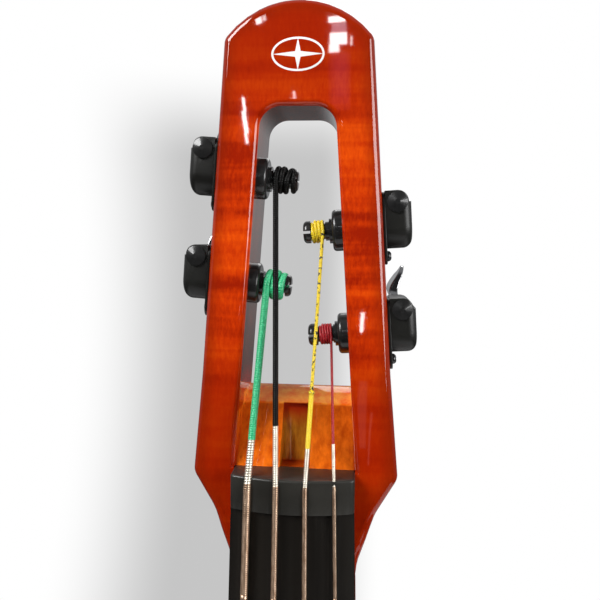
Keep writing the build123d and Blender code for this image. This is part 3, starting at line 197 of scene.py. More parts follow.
# ---- The head's stain, painted shade and painted highlight: colours, and places in mm above the nut, behind the glue plane or off the middle
DARK_AMBER = (0.31, 0.012, 0.0008)
MID_AMBER = (0.56, 0.036, 0.0012)
BRIGHT_AMBER = (0.80, 0.085, 0.0025)
EDGE_RED = (0.22, 0.014, 0.0015)
EDGE_SHARE = 0.72            # how much of the edge's red there is at the very edge
EDGE_FADE = (0.2, 7.0)       # it fades between these distances from the outline
EDGE_WANDER = 3.0            # and its border wanders by this much
BRIGHTEST = 96.0             # the stain is lightest at this height
DARKENING = (22.0, 66.0)     # and darkens this far above and below it
DARKEST = 0.80
SLOT_HALF = 16.61            # half the slot's width where HEAD_HALF is measured
WALL_ROOM = 0.15             # the walls' painted shade reaches this far into the wood
HEAD_HALF, HEAD_HALF_AT, HEAD_LEAN = 30.9, 88.0, 0.0717    # half the head's width, where, and its taper
CROWN_RADIUS, CROWN_CENTRE = 32.32, 143.08                  # the arc of the head's top
FLAT_CROWN = 100.0           # more than any distance on the head
HIP_LEVEL, HIP_TURN = 11.5, 0.42    # below this the outline turns in, by this much per mm

# each fade's value is 0 at the first place and 1 at the second
RAMP_TOP = (33.5, 32.5)
RAMP_FOOT = (10.5, 12.5)
RAMP_SIDE = (22.2, 20.5)
RAMP_FRONT = (0.4, 2.2)
LEDGE_FOOT = (32.0, 32.8)
LEDGE_TOP = (38.5, 36.5)
LEDGE_DEPTH = (10.0, 13.5)
# where the slot walls' painted shade fades in, and how much of it is laid on
WALL_DEPTH = (1.5, 3.0)
WALL_FOOT = (38.0, 50.0)
WALL_TOP = (141.2, 140.6)
WALL_SHADE_SHARE = 0.85
WELL_SIDE = (5.6, 5.4)
WELL_DEPTH = (17.8, 17.2)
WELL_TOP = (33.1, 32.6)
WELL_FRONT = (1.0, 2.0)
# between these heights the well turns to its painted-shade red
WELL_REDDENS = (22.0, 31.0)

ORANGE = ((0.46, 0.060, 0.002), (0.76, 0.150, 0.006))
# a painted highlight: the up-facing ledge's paler orange
LEDGE_HIGHLIGHT_ORANGE = ((0.92, 0.160, 0.008), (1.00, 0.390, 0.045))
WELL_YELLOW = ((0.30, 0.090, 0.004), (0.66, 0.28, 0.020))
# painted shade at the well's top, under the ledge
WELL_SHADE_RED = (0.42, 0.024, 0.002)
# painted shade on the slot's walls
WALL_SHADE_BROWN = (0.050, 0.020, 0.010)


def flamed_maple(name, dark, mid, bright, edge_distance=None):
    """Clear-coated amber-red maple: flame across the grain, pores along it, darker towards the edges."""
    n = Nodes(name)
    n.set(Roughness=0.5, Coat_Weight=1.0, Coat_Roughness=0.025, Coat_IOR=1.5, Specular_IOR_Level=0.0)
    place = n.position()
    bands = n.noise(n.moved(place, (14, 14, 210)), 1.0, 2.0, 0.5, 0.35)
    broad = n.noise(n.moved(place, (20, 20, 62)), 1.0, 1.5, 0.5, 0.5)
    fleck = n.noise(n.moved(place, (900, 900, 300)), 1.0, 4.0, 0.7)
    figure = n.math("ADD", n.math("MULTIPLY", bands, 0.5), n.math("MULTIPLY", broad, 0.5))
    figure = n.math("ADD", figure, n.math("MULTIPLY", n.math("SUBTRACT", fleck, 0.5), 0.34))
    base = n.ramp(figure, (0.34, dark), (0.50, mid), (0.68, bright))
    if edge_distance is not None:
        height = n.math("MULTIPLY", n.math("SUBTRACT", n.xyz(place)[2], NUT_Z), 1000)
        away = n.math("ABSOLUTE", n.math("SUBTRACT", height, BRIGHTEST))
        base = n.mix(n.spread(away, *DARKENING, 0.0, DARKEST), base, dark)
        base = n.mix(edge_distance(n), n.mix(EDGE_SHARE, base, EDGE_RED), base)
    wave = n.noise(n.moved(place, (60, 60, 25)), 1.0, 1.0, 0.4)
    n.bump(wave, 0.10, 0.0006, "Coat Normal")
    n.colour(base)
    return n


def head_edge(n):
    """0 at the head's outline, 1 well inside it."""
    x, _, z = n.xyz(n.position())
    half = n.math("MULTIPLY", n.math("ABSOLUTE", x), 1000)
    height = n.math("MULTIPLY", n.math("SUBTRACT", z, NUT_Z), 1000)
    rail = n.math("SUBTRACT", height, HEAD_HALF_AT)
    rail = n.math("SUBTRACT", HEAD_HALF, n.math("MULTIPLY", rail, HEAD_LEAN))
    from_side = n.math("SUBTRACT", rail, half)
    above = n.math("MAXIMUM", n.math("SUBTRACT", height, CROWN_CENTRE), 0.0)
    squares = n.math("ADD", n.math("MULTIPLY", above, above), n.math("MULTIPLY", half, half))
    radius = n.math("SQRT", squares)
    from_crown = n.math("SUBTRACT", CROWN_RADIUS, radius)
    # the crown's arc only counts above its centre
    under = n.math("LESS_THAN", above, 0.001)
    from_crown = n.math("ADD", from_crown, n.math("MULTIPLY", under, FLAT_CROWN))
    # below the hips the outline turns in towards the neck
    below = n.math("MAXIMUM", n.math("SUBTRACT", HIP_LEVEL, height), 0.0)
    from_side = n.math("SUBTRACT", from_side, n.math("MULTIPLY", below, HIP_TURN))
    ragged = n.noise(n.position(), 130, 2.0, 0.5)
    distance = n.math("MINIMUM", from_side, from_crown)
    wander = n.math("MULTIPLY", n.math("SUBTRACT", ragged, 0.5), EDGE_WANDER)
    return n.spread(n.math("ADD", distance, wander), *EDGE_FADE)


def head_maple():
    """The neck's wood: amber, with the orange ramp and the ledge's painted highlight behind the nut,
    painted shade on the slot walls, and the well with painted shade at its top.
    """
    n = flamed_maple("amber_maple_head", DARK_AMBER, MID_AMBER, BRIGHT_AMBER, head_edge)
    base = n.shader.inputs["Base Color"].links[0].from_socket
    x, y, z = n.xyz(n.position())
    depth = n.math("SUBTRACT", y, GLUE_Y)
    height = n.math("SUBTRACT", z, NUT_Z)
    half = n.math("ABSOLUTE", x)

    def fade(value, places):
        return n.spread(value, places[0] * MM, places[1] * MM)

    def blend(factor, pair):
        return n.ramp(factor, (0.3, pair[0]), (0.7, pair[1]))

    above_nut = fade(height, RAMP_FOOT)
    inside = fade(half, RAMP_SIDE)
    ramp = n.product(fade(height, RAMP_TOP), above_nut, inside, fade(depth, RAMP_FRONT))
    grain = n.noise(n.moved(n.position(), (420, 420, 26)), 1.0, 3.0, 0.6)
    base = n.mix(ramp, base, blend(grain, ORANGE))
    # the ledge at the slot's end is paler: a painted highlight where the up-facing ledge catches the
    # light
    ledge_highlight_mask = n.product(fade(height, LEDGE_FOOT), fade(height, LEDGE_TOP), fade(depth, LEDGE_DEPTH), inside)
    blotch = n.noise(n.moved(n.position(), (260, 260, 260)), 1.0, 3.0, 0.6)
    ledge_highlight_colour = n.ramp(blotch, (0.35, LEDGE_HIGHLIGHT_ORANGE[0]), (0.65, LEDGE_HIGHLIGHT_ORANGE[1]))
    base = n.mix(ledge_highlight_mask, base, ledge_highlight_colour)
    # painted shade: the slot's own walls are darkened to a deep brown
    tall = n.math("SUBTRACT", HEAD_HALF_AT * MM, height)
    slot_half = n.math("ADD", (SLOT_HALF + WALL_ROOM) * MM, n.math("MULTIPLY", tall, HEAD_LEAN))
    in_slot = n.math("LESS_THAN", half, slot_half)
    wall_shade = n.product(in_slot, fade(depth, WALL_DEPTH), fade(height, WALL_FOOT), fade(height, WALL_TOP))
    base = n.mix(n.math("MULTIPLY", wall_shade, WALL_SHADE_SHARE), base, WALL_SHADE_BROWN)
    # the well that leads to the truss rod: olive and yellow-brown lower down, and red at its top, where
    # the red is painted shade under the ledge
    in_well = n.product(fade(half, WELL_SIDE), fade(depth, WELL_DEPTH), fade(depth, WELL_FRONT))
    well = n.product(in_well, fade(height, WELL_TOP), above_nut)
    streak = n.noise(n.moved(n.position(), (500, 500, 45), (0, 0.22, 0)), 1.0, 3.0, 0.6)
    well_wood_and_shade = n.mix(fade(height, WELL_REDDENS), blend(streak, WELL_YELLOW), WELL_SHADE_RED)
    n.colour(n.mix(well, base, well_wood_and_shade))
    return n


def satin_black(name, colour, rough, grain, strength, coat=0.0, shine=0.3):
    """Plastic, paint or plating with a fine grain; most of what wears it is black."""
    n = Nodes(name)
    n.set(Roughness=rough, Coat_Weight=coat, Coat_Roughness=0.08, Specular_IOR_Level=shine)
    speck = n.noise(n.position(), grain, 3.0, 0.6)
    shade = n.noise(n.position(), 60, 2.0, 0.5)
    lighter = tuple(min(1, c * 1.5 + 0.004) for c in colour)
    n.colour(n.ramp(shade, (0.35, colour), (0.7, lighter)))
    n.rough(n.spread(speck, 0.2, 0.8, rough * 0.85, min(1, rough * 1.2), smooth=False))
    n.bump(speck, strength, 0.00004)
    return n


def metal(name, colour, rough, scratch=0.0):
    """Metal whose shade and roughness vary along fine lines; scratch also raises them."""
    n = Nodes(name)
    n.set(Metallic=1.0, Roughness=rough)
    lines = n.noise(n.moved(n.position(), (2500, 2500, 120)), 1.0, 3.0, 0.6)
    darker = tuple(c * 0.82 for c in colour)
    n.colour(n.ramp(lines, (0.3, darker), (0.7, colour)))
    n.rough(n.spread(lines, 0.2, 0.8, rough * 0.8, rough * 1.35 + 0.01, smooth=False))
    if scratch:
        n.bump(lines, scratch, 0.00003)
    return n


def ebony():
    n = Nodes("black_fingerboard")
    n.set(Roughness=0.42, Specular_IOR_Level=0.22)
    grain = n.noise(n.moved(n.position(), (900, 900, 18)), 1.0, 4.0, 0.65)
    band = n.noise(n.moved(n.position(), (120, 120, 4)), 1.0, 2.0, 0.5)
    base = n.ramp(band, (0.3, (0.0055, 0.0044, 0.0034)), (0.75, (0.013, 0.0105, 0.0080)))
    base = n.mix(n.spread(grain, 0.55, 0.8, 0.0, 0.5), base, (0.024, 0.020, 0.016))
    n.colour(base)
    n.rough(n.spread(grain, 0.2, 0.8, 0.36, 0.52, smooth=False))
    n.bump(grain, 0.15, 0.00005)
    return n


def plain_maple():
    n = Nodes("bridge_maple")
    n.set(Roughness=0.45, Coat_Weight=0.3, Coat_Roughness=0.25)
    grain = n.noise(n.moved(n.position(), (60, 1400, 1400)), 1.0, 3.0, 0.6)
    fleck = n.noise(n.moved(n.position(), (420, 90, 420)), 1.0, 2.0, 0.5)
    base = n.ramp(grain, (0.3, (0.50, 0.28, 0.12)), (0.7, (0.66, 0.42, 0.20)))
    base = n.mix(n.spread(fleck, 0.6, 0.75, 0.0, 0.45), base, (0.36, 0.18, 0.07))
    n.colour(base)
    n.bump(grain, 0.15, 0.00005)
    return n


def silk(name, dark, mid, light, fleck=None, shine=0.5):
    """Tight thread: the ridges are in the mesh, this adds the sheen and the fibres."""
    n = Nodes(name)
    n.set(Roughness=0.34, Specular_IOR_Level=shine)
    fibre = n.noise(n.moved(n.position(), (1500, 1500, 5200)), 1.0, 3.0, 0.65)
    base = n.ramp(fibre, (0.28, dark), (0.5, mid), (0.74, light))
    if fleck:
        spots = n.noise(n.moved(n.position(), (1100, 1100, 900)), 1.0, 1.0, 0.4)
        base = n.mix(n.spread(spots, 0.56, 0.62), base, fleck)
    n.colour(base)
    n.bump(fibre, 0.35, 0.00006)
    return n


def wound_wire(name, dark, light, rough):
    """A string's metal; its ridges are in the mesh."""
    n = Nodes(name)
    n.set(Metallic=0.85, Roughness=rough)
    tone = n.noise(n.moved(n.position(), (900, 900, 260)), 1.0, 2.0, 0.5)
    n.colour(n.ramp(tone, (0.3, dark), (0.7, light)))
    return n


MATERIALS = {
    "flamed_maple": flamed_maple("amber_maple_body", DARK_AMBER, MID_AMBER, BRIGHT_AMBER),
    "ebony": ebony(),
    "nut_black": satin_black("nut_composite", (0.016, 0.015, 0.0125), 0.34, 2200, 0.10, 0.0, 0.40),
    "ivory_inlay": satin_black("pearl_inlay", (0.80, 0.78, 0.72), 0.25, 900, 0.02, 1.0),
    "plain_steel": metal("plain_steel", (0.55, 0.55, 0.56), 0.32, 0.1),
    "bridge_maple": plain_maple(),
    "pickup_brass": metal("pickup_brass", (0.70, 0.52, 0.25), 0.34, 0.1),
    "black_plastic": satin_black("black_knurled_plastic", (0.012, 0.012, 0.012), 0.36, 1600, 0.06),
    "black_screws": satin_black("black_screws", (0.014, 0.014, 0.015), 0.24, 1500, 0.05, 0.6),
    "black_metal": satin_black("black_plated_metal", (0.020, 0.020, 0.021), 0.36, 1700, 0.08),
    "black_case": satin_black("tuner_case_black", (0.006, 0.006, 0.005), 0.40, 2600, 0.10, 0.0, 0.35),
    "black_gloss_metal": satin_black("tuner_gloss_black", (0.010, 0.010, 0.010), 0.30, 900, 0.03, 0.5),
    "bright_metal": metal("nickel", (0.68, 0.67, 0.64), 0.18),
    "key_chrome": metal("key_chrome", (0.42, 0.42, 0.43), 0.10),
    "gear_brass": metal("gear_brass", (0.72, 0.53, 0.25), 0.30, 0.1),
    "ball_brass": metal("ball_brass", (0.72, 0.53, 0.25), 0.30, 0.1),
    "wound_steel": wound_wire("wound_steel", (0.34, 0.21, 0.135), (0.62, 0.44, 0.31), 0.36),
}
MATERIALS = {slot: nodes.material for slot, nodes in MATERIALS.items()}
HEAD_MAPLE = head_maple().material
BARE_WIRE = wound_wire("bare_winding", (0.62, 0.56, 0.46), (0.86, 0.81, 0.70), 0.45).material
BLACK_THREAD = ((0.0015, 0.0015, 0.0015), (0.004, 0.004, 0.004), (0.016, 0.015, 0.014))
SILKS = {
    "e": silk("green_silk", (0.004, 0.15, 0.055), (0.022, 0.44, 0.18), (0.18, 0.85, 0.46)),
    "a": silk("black_silk", *BLACK_THREAD, shine=0.12),
    "d": silk("yellow_silk", (0.50, 0.34, 0.005), (0.80, 0.58, 0.012), (0.92, 0.76, 0.08)),
    "g": silk("red_silk", (0.15, 0.002, 0.004), (0.36, 0.008, 0.014), (0.56, 0.035, 0.046)),
}
SILKS = {string: nodes.material for string, nodes in SILKS.items()}
FLECKED = silk("flecked_yellow_silk", (0.45, 0.30, 0.005), (0.80, 0.58, 0.012), (0.90, 0.74, 0.08),
               fleck=(0.02, 0.015, 0.008)).material


def dress_cad_nodes():
    """Every CAD node that stays gets its slot's material."""
    slots = {s["node"]: s["material_slot"] for s in frame["record"]["subparts"]}
    for name, obj in frame["nodes"].items():
        material = MATERIALS.get(slots[name])
        if name == "neck":
            material = HEAD_MAPLE
        if material is None:
            continue
        obj.data.materials.clear()
        obj.data.materials.append(material)
        for polygon in obj.data.polygons:
            polygon.material_index = 0


dress_cad_nodes()

# ---- Floor, light and camera ------------------------------------------------------------------------
def area(name, place, aim, width, height, power, colour=(1, 1, 1)):
    data = bpy.data.lights.new(name, "AREA")
    data.shape = "RECTANGLE"
    data.size = width
    data.size_y = height
    data.energy = power
    data.color = colour
    lamp = bpy.data.objects.new(name, data)
    bpy.context.scene.collection.objects.link(lamp)
    lamp.location = place
    lamp.rotation_mode = "QUATERNION"
    lamp.rotation_quaternion = (Vector(aim) - Vector(place)).to_track_quat("-Z", "Z")
    return lamp


FLOOR_HALF = 1.15
FLOOR_GAP = 2 * MM           # the floor lies this far under the instrument


def make_floor():
    floor_mesh = bpy.data.meshes.new("floor")
    z = CAD_LOW.z - FLOOR_GAP
    corners = [(x * FLOOR_HALF, y * FLOOR_HALF, z) for x, y in ((-1, -1), (1, -1), (1, 1), (-1, 1))]
    floor_mesh.from_pydata(corners, [], [(0, 1, 2, 3)])
    floor = bpy.data.objects.new("floor", floor_mesh)
    bpy.context.scene.collection.objects.link(floor)
    paint = Nodes("pale_floor")
    paint.set(Base_Color=(0.86, 0.86, 0.86, 1), Roughness=0.8)
    floor_mesh.materials.append(paint.material)


# fades of the sky and of the backdrop's shadow: axis, where it starts and ends, and its value at both
SKY = (
    ("Y", -0.50, -0.12, 0.035, 0.36),
    ("Y", 0.20, 0.60, 1.0, 1.15),
    ("Z", -0.40, 0.10, 0.10, 1.0),
)
BACKDROP = (
    ("X", -0.43, -0.25, 0.0, 1.0),
    ("X", -0.06, 0.05, 1.0, 0.0),
    ("Z", 0.12, 0.27, 1.0, 0.0),
    ("Y", 0.5, 0.7, 0.0, 1.0),
)
BACKDROP_SHADE = 0.56        # in the middle of the shadow


def make_world():
    """White to the eye but for a soft shadow on the backdrop; for light and reflections, a soft sky."""
    world = bpy.data.worlds.new("studio")
    bpy.context.scene.world = world
    world.use_nodes = True
    tree = world.node_tree
    tree.nodes.clear()
    add, link = tree.nodes.new, tree.links.new
    where = add("ShaderNodeTexCoord")
    split = add("ShaderNodeSeparateXYZ")
    link(where.outputs["Generated"], split.inputs[0])

    def product(fades):
        whole = None
        for axis, start, end, at_start, at_end in fades:
            fade = add("ShaderNodeMapRange")
            fade.interpolation_type = "SMOOTHSTEP"
            fade.inputs["From Min"].default_value = start
            fade.inputs["From Max"].default_value = end
            fade.inputs["To Min"].default_value = at_start
            fade.inputs["To Max"].default_value = at_end
            link(split.outputs[axis], fade.inputs["Value"])
            if whole is None:
                whole = fade.outputs[0]
                continue
            times = add("ShaderNodeMath")
            times.operation = "MULTIPLY"
            link(whole, times.inputs[0])
            link(fade.outputs[0], times.inputs[1])
            whole = times.outputs[0]
        return whole

    glow = product(SKY)
    shadow = add("ShaderNodeMapRange")
    shadow.inputs["To Min"].default_value = 1.0
    shadow.inputs["To Max"].default_value = BACKDROP_SHADE
    link(product(BACKDROP), shadow.inputs["Value"])
    out = add("ShaderNodeOutputWorld")
    seen = add("ShaderNodeBackground")
    lit = add("ShaderNodeBackground")
    pick = add("ShaderNodeMixShader")
    rays = add("ShaderNodeLightPath")
    seen.inputs["Color"].default_value = (1, 1, 1, 1)
    lit.inputs["Color"].default_value = (0.97, 0.98, 1.0, 1)
    link(glow, lit.inputs["Strength"])
    link(shadow.outputs[0], seen.inputs["Strength"])
    link(rays.outputs["Is Camera Ray"], pick.inputs[0])
    link(lit.outputs[0], pick.inputs[1])
    link(seen.outputs[0], pick.inputs[2])
    link(pick.outputs[0], out.inputs["Surface"])


HEAD_MIDDLE = 75.0           # mm above the nut
WINDOW_DISTANCE = 2.5        # metres behind the head's face
WHITE, LILAC, ROSE = (1, 1, 1), (0.42, 0.30, 1.0), (1.0, 0.55, 0.45)

# spots in the lacquer: left, right, low and high edge in mm, brightness and colour
WINDOWS = (
    (10.8, 15.4, 167.0, 168.8, 30, WHITE),
    (11.8, 15.8, 163.9, 166.6, 5, (0.8, 0.8, 1.0)),
    (11.4, 16.0, 160.0, 163.6, 30, WHITE),
    (11.2, 13.8, 157.4, 159.8, 26, WHITE),
    (17.2, 17.9, 159.6, 162.4, 18, WHITE),
    (11.4, 17.6, 139.0, 157.0, 0.16, LILAC),
    (12.2, 16.8, 141.0, 157.0, 0.16, LILAC),
    (13.0, 15.8, 143.5, 157.0, 0.16, LILAC),
    (-14.6, -12.6, 167.2, 169.4, 26, WHITE),
    (-12.2, -11.4, 168.0, 169.8, 20, WHITE),
    (-19.0, -17.6, 131.0, 138.5, 34, WHITE),
    (-19.2, -18.3, 138.5, 143.0, 34, WHITE),
    (-18.2, -17.4, 127.5, 131.0, 30, WHITE),
    (-2.9, -0.8, 141.6, 142.4, 16, WHITE),
    (-2.2, -1.4, 142.4, 144.8, 16, WHITE),
    (22.9, 24.1, 63.0, 70.0, 24, WHITE),
    (20.6, 21.4, 18.0, 47.0, 1.1, ROSE),
    (22.8, 25.4, 22.0, 45.0, 0.6, ROSE),
    (26.4, 27.0, 16.0, 34.0, 1.1, ROSE),
)


def make_lights(eye):
    head = mm(0, 0, HEAD_MIDDLE)
    area("key", head + Vector((-1.1, -0.9, 1.1)), head, 0.9, 0.9, 44)
    area("fill", head + Vector((1.5, -0.8, 0.3)), head, 0.9, 1.2, 30)
    area("back", head + Vector((0.3, 1.2, 1.0)), head, 0.8, 0.8, 6)
    for left, right, low, high, glow, colour in WINDOWS:
        window(eye, left, right, low, high, glow, colour)


def window(eye, left, right, low, high, glow, colour):
    """A far light that eye sees in the head's face over that box, in mm across and above the nut."""
    spot = mm((left + right) / 2, 0, (low + high) / 2)
    behind = eye.copy()
    behind.y = 2 * GLUE_Y - eye.y
    away = (spot - behind).normalized()
    grow = (WINDOW_DISTANCE + (spot - behind).length) / (spot - behind).length * MM
    width, height = (right - left) * grow, (high - low) * grow
    power = glow * math.pi * width * height
    area("window", spot + away * WINDOW_DISTANCE, spot, width, height, power, colour)


CAMERA_TURN, CAMERA_RISE, CAMERA_ROLL = (math.radians(angle) for angle in (5.05, 5.7, 0.6))
CAMERA_AIM = (1.6, 73.8)     # the point of the head's face it looks at, mm across and above the nut
CAMERA_DISTANCE = 210.0      # mm from that point


def make_camera():
    """Close in front of the head, a little to its right and above its middle; returns where it stands."""
    data = bpy.data.cameras.new("camera")
    camera = bpy.data.objects.new("camera", data)
    bpy.context.scene.collection.objects.link(camera)
    bpy.context.scene.camera = camera
    data.lens = 36
    data.sensor_width = 36
    data.clip_start = 0.01
    data.clip_end = 50
    level = math.cos(CAMERA_RISE)
    back = Vector((math.sin(CAMERA_TURN) * level, -math.cos(CAMERA_TURN) * level, math.sin(CAMERA_RISE)))
    across = (-back).cross(Vector((0, 0, 1))).normalized()
    upright = across.cross(-back)
    right = across * math.cos(CAMERA_ROLL) + upright * math.sin(CAMERA_ROLL)
    up = upright * math.cos(CAMERA_ROLL) - across * math.sin(CAMERA_ROLL)
    camera.rotation_mode = "QUATERNION"
    camera.rotation_quaternion = Matrix((right, up, back)).transposed().to_quaternion()
    camera.location = mm(CAMERA_AIM[0], 0, CAMERA_AIM[1]) + back * CAMERA_DISTANCE * MM
    return camera.location.copy()


make_floor()
make_world()
make_lights(make_camera())
bpy.context.scene.view_settings.view_transform = "Standard"


# ---- Making meshes ----------------------------------------------------------------------------------
def new_object(name, mesh, material, body, *nodes, slot=None):
    """Links a mesh whose polygons already hold their material's index; material is one or a list."""
    obj = bpy.data.objects.new(name, mesh)
    bpy.context.scene.collection.objects.link(obj)
    indices = [polygon.material_index for polygon in mesh.polygons]
    mesh.materials.clear()
    materials = material if isinstance(material, list) else [material]
    for item in materials:
        mesh.materials.append(item)
    for polygon, index in zip(mesh.polygons, indices):
        polygon.material_index = min(index, len(materials) - 1)
        polygon.use_smooth = True
    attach(obj, body)
    if nodes:
        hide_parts(*nodes)
    return obj


def tube(name, rings, sides, radius_at):
    """A closed round bar along rings, each a centre with two directions; radius_at(ring, angle) in m."""
    verts, faces = [], []
    for index, (centre, one, two) in enumerate(rings):
        for k in range(sides):
            angle = 2 * math.pi * k / sides
            arm = one * math.cos(angle) + two * math.sin(angle)
            verts.append(centre + arm * radius_at(index, angle))
    for ring in range(len(rings) - 1):
        for k in range(sides):
            a, b = ring * sides + k, ring * sides + (k + 1) % sides
            faces.append((a, b, b + sides, a + sides))
    faces.append(tuple(reversed(range(sides))))
    faces.append(tuple(range((len(rings) - 1) * sides, len(rings) * sides)))
    mesh = bpy.data.meshes.new(name)
    mesh.from_pydata(verts, [], faces)
    mesh.update()
    return mesh


def carried(points):
    """Turns a list of points into rings whose directions are carried along without twisting."""
    rings = []
    tangent = (points[1] - points[0]).normalized()
    one = tangent.orthogonal().normalized()
    for index, point in enumerate(points):
        after = points[min(index + 1, len(points) - 1)]
        before = points[max(index - 1, 0)]
        tangent = (after - before).normalized()
        one = (one - tangent * one.dot(tangent)).normalized()
        rings.append((point, one, tangent.cross(one)))
    return rings


# ---- Strings, in mm ---------------------------------------------------------------------------------
BOARD_RADIUS, BRIDGE_RADIUS = 70.0, 75.0
AT_NUT = {"e": -15.4, "a": -5.3, "d": 4.8, "g": 14.8}       # each string's place across the nut
NUT_BEND = 9.4               # a string bends over the nut at this height
BOARD_CROWN, NUT_LIFT = 8.8, 0.8    # the board's thickness in the middle, and how far the nut clears it
SADDLE_SPACING, TAIL_SPACING = 28.0, 22.6
BRIDGE_CROWN, SADDLE_GROOVE = 34.5, 0.7     # how far in front of the glue plane, and each groove's depth
TAIL_DEPTH = 14.0            # where a string lies in the tailpiece, behind the glue plane
TAIL_HEIGHTS = (-1175.0, -1141.0)
BEND_RADII = (30.0, 14.0, 22.0)     # at the tailpiece, the bridge and the nut
ROUTE_STEP = 1.0
WINDING_START = {"e": 19.15, "a": 19.75, "d": 20.55, "g": 19.85}    # in from the rail's outer side
WOUND_SIDES, WOUND_STEPS = 20, 6    # a wound bar's sides, and its rings to each turn of the winding


def sagitta(radius, x):
    """How far an arc has fallen back from its crown at x."""
    return radius - math.sqrt(radius * radius - x * x)


def post_frame(name):
    """Where the post's axis meets the rail's outer side, and its directions out, forward and up."""
    data = joint(f"post_{name}_turn")
    out = Vector(data["axis"]).normalized()
    start = Vector(data["pos_m"])
    forward = Vector((0, -1, 0))
    return start, out, forward, out.cross(forward) * (1 if out.x < 0 else -1)


def string_points(name):
    """A string's corners: ball end, tailpiece's edge, bridge, nut, and the start of its winding."""
    place = STRINGS.index(name) - 1.5
    tail = TAIL_SPACING * place
    saddle = SADDLE_SPACING * place
    start, out, forward, _ = post_frame(name)
    bridge_height = (BRIDGE_Z - NUT_Z) / MM
    bridge_depth = sagitta(BRIDGE_RADIUS, saddle) - BRIDGE_CROWN - WOUND[name] / 2 + SADDLE_GROOVE
    nut_depth = sagitta(BOARD_RADIUS, AT_NUT[name]) - BOARD_CROWN - NUT_LIFT - WOUND[name] / 2
    top = start - out * (WINDING_START[name] + SILK[name] / 2) * MM
    top += forward * (BARREL + SILK[name] / 2) * MM
    return [
        mm(tail, TAIL_DEPTH, TAIL_HEIGHTS[0]),
        mm(tail, TAIL_DEPTH, TAIL_HEIGHTS[1]),
        mm(saddle, bridge_depth, bridge_height),
        mm(AT_NUT[name], nut_depth, NUT_BEND),
        top,
    ]


def rounded(points, radii, step):
    """The route through the points with each corner turned into an arc, as close-set points."""
    route = [points[0]]
    for index, radius in enumerate(radii, 1):
        corner = points[index]
        into = (corner - points[index - 1]).normalized()
        out = (points[index + 1] - corner).normalized()
        turn = into.angle(out)
        reach = radius * MM * math.tan(turn / 2)
        start, end = corner - into * reach, corner + out * reach
        centre = corner + (out - into).normalized() * (radius * MM / math.cos(turn / 2))
        steps = max(2, int(turn * radius * MM / step))
        for k in range(steps + 1):
            share = k / steps
            arm = (start - centre).lerp(end - centre, share).normalized() * radius * MM
            route.append(centre + arm)
    route.append(points[-1])
    dense = [route[0]]
    for point in route[1:]:
        gap = (point - dense[-1]).length
        count = max(1, round(gap / step))
        last = dense[-1].copy()
        for k in range(1, count + 1):
            dense.append(last.lerp(point, k / count))
    return dense


def thread_radius(base, ridge, pitch, lengths):
    """A radius in mm with a fine thread wound round it."""

    def radius_at(index, angle):
        phase = lengths[index] / pitch - angle / (2 * math.pi)
        return base + ridge * (abs(math.sin(math.pi * phase)) - 1)

    return radius_at


def run_lengths(points):
    total = [0.0]
    for before, after in zip(points, points[1:]):
        total.append(total[-1] + (after - before).length)
    return total


def slice_route(points, low, high):
    """The part of an upward route between two heights above the nut, in mm, with exact ends."""
    low_z, high_z = NUT_Z + low * MM, NUT_Z + high * MM
    kept = []
    for before, after in zip(points, points[1:]):
        if after.z < low_z or before.z > high_z:
            continue
        rise = max(1e-9, after.z - before.z)
        begin = before.lerp(after, min(1, max(0, (low_z - before.z) / rise)))
        end = before.lerp(after, min(1, max(0, (high_z - before.z) / rise)))
        if not kept:
            kept.append(begin)
        if (end - kept[-1]).length > 1e-7:
            kept.append(end)
    return kept


def resampled(points, step):
    """The same route in equal steps."""
    lengths = run_lengths(points)
    count = max(2, int(lengths[-1] / step))
    result, place = [], 0
    for k in range(count + 1):
        target = lengths[-1] * k / count
        while place < len(lengths) - 2 and lengths[place + 1] < target:
            place += 1
        span = max(1e-12, lengths[place + 1] - lengths[place])
        result.append(points[place].lerp(points[place + 1], (target - lengths[place]) / span))
    return result


def wrapped_bar(name, points, radius, ridge, pitch):
    """A bar with a thread of that depth and pitch wound round it, all in mm."""
    path = resampled(points, pitch * MM / WOUND_STEPS)
    lengths = [length / MM for length in run_lengths(path)]
    radius_at = thread_radius(radius, ridge, pitch, lengths)
    return tube(name, carried(path), WOUND_SIDES, lambda index, angle: radius_at(index, angle) * MM)


# heights above the nut's lower edge
DARK_WIRE_TO = 10.2          # below this the wire has the darker, browner wound_steel colour
FINE_FROM = -30.0            # below this the winding is too fine to be modelled as ridges
LOWEST = -5000.0             # below the whole instrument
THICK_SILK_END = 41.0        # the D string's silk is thicker up to here

WIRE_RIDGE = {"e": (0.14, 0.74), "a": (0.11, 0.64), "d": (0.07, 0.52), "g": (0.05, 0.44)}   # depth, pitch
SILK_RIDGE = {"e": (0.20, 0.78), "a": (0.17, 0.72), "d": (0.12, 0.66), "g": (0.09, 0.60)}
SMOOTH_STEP = 2.0
SMOOTH_LOSS = 0.6            # the share of a ridge's depth that a smooth bar is thinner by
BARE_THINNER = 0.05          # the bare winding above the nut is thinner, deeper and coarser
BARE_DEEPER, BARE_COARSER = 1.5, 1.2
THICK_SILK = (0.88, 0.09, 0.5)      # radius, ridge depth and pitch
KNOT_LENGTH, KNOT_STEP, KNOT_SIDES = 1.6, 0.1, 16
KNOT_RADIUS, KNOT_SWELL = 0.62, 0.42
THIN_SILK_FROM = 1.2         # the thin silk starts this far up the knot


def joined(name, meshes):
    """One mesh of several, each keeping its own material slot."""
    merged = bmesh.new()
    for index, mesh in enumerate(meshes):
        first = len(merged.faces)
        merged.from_mesh(mesh)
        merged.faces.ensure_lookup_table()
        for face in merged.faces[first:]:
            face.material_index = index
            face.smooth = True
        bpy.data.meshes.remove(mesh)
    mesh = bpy.data.meshes.new(name)
    merged.to_mesh(mesh)
    merged.free()
    return mesh


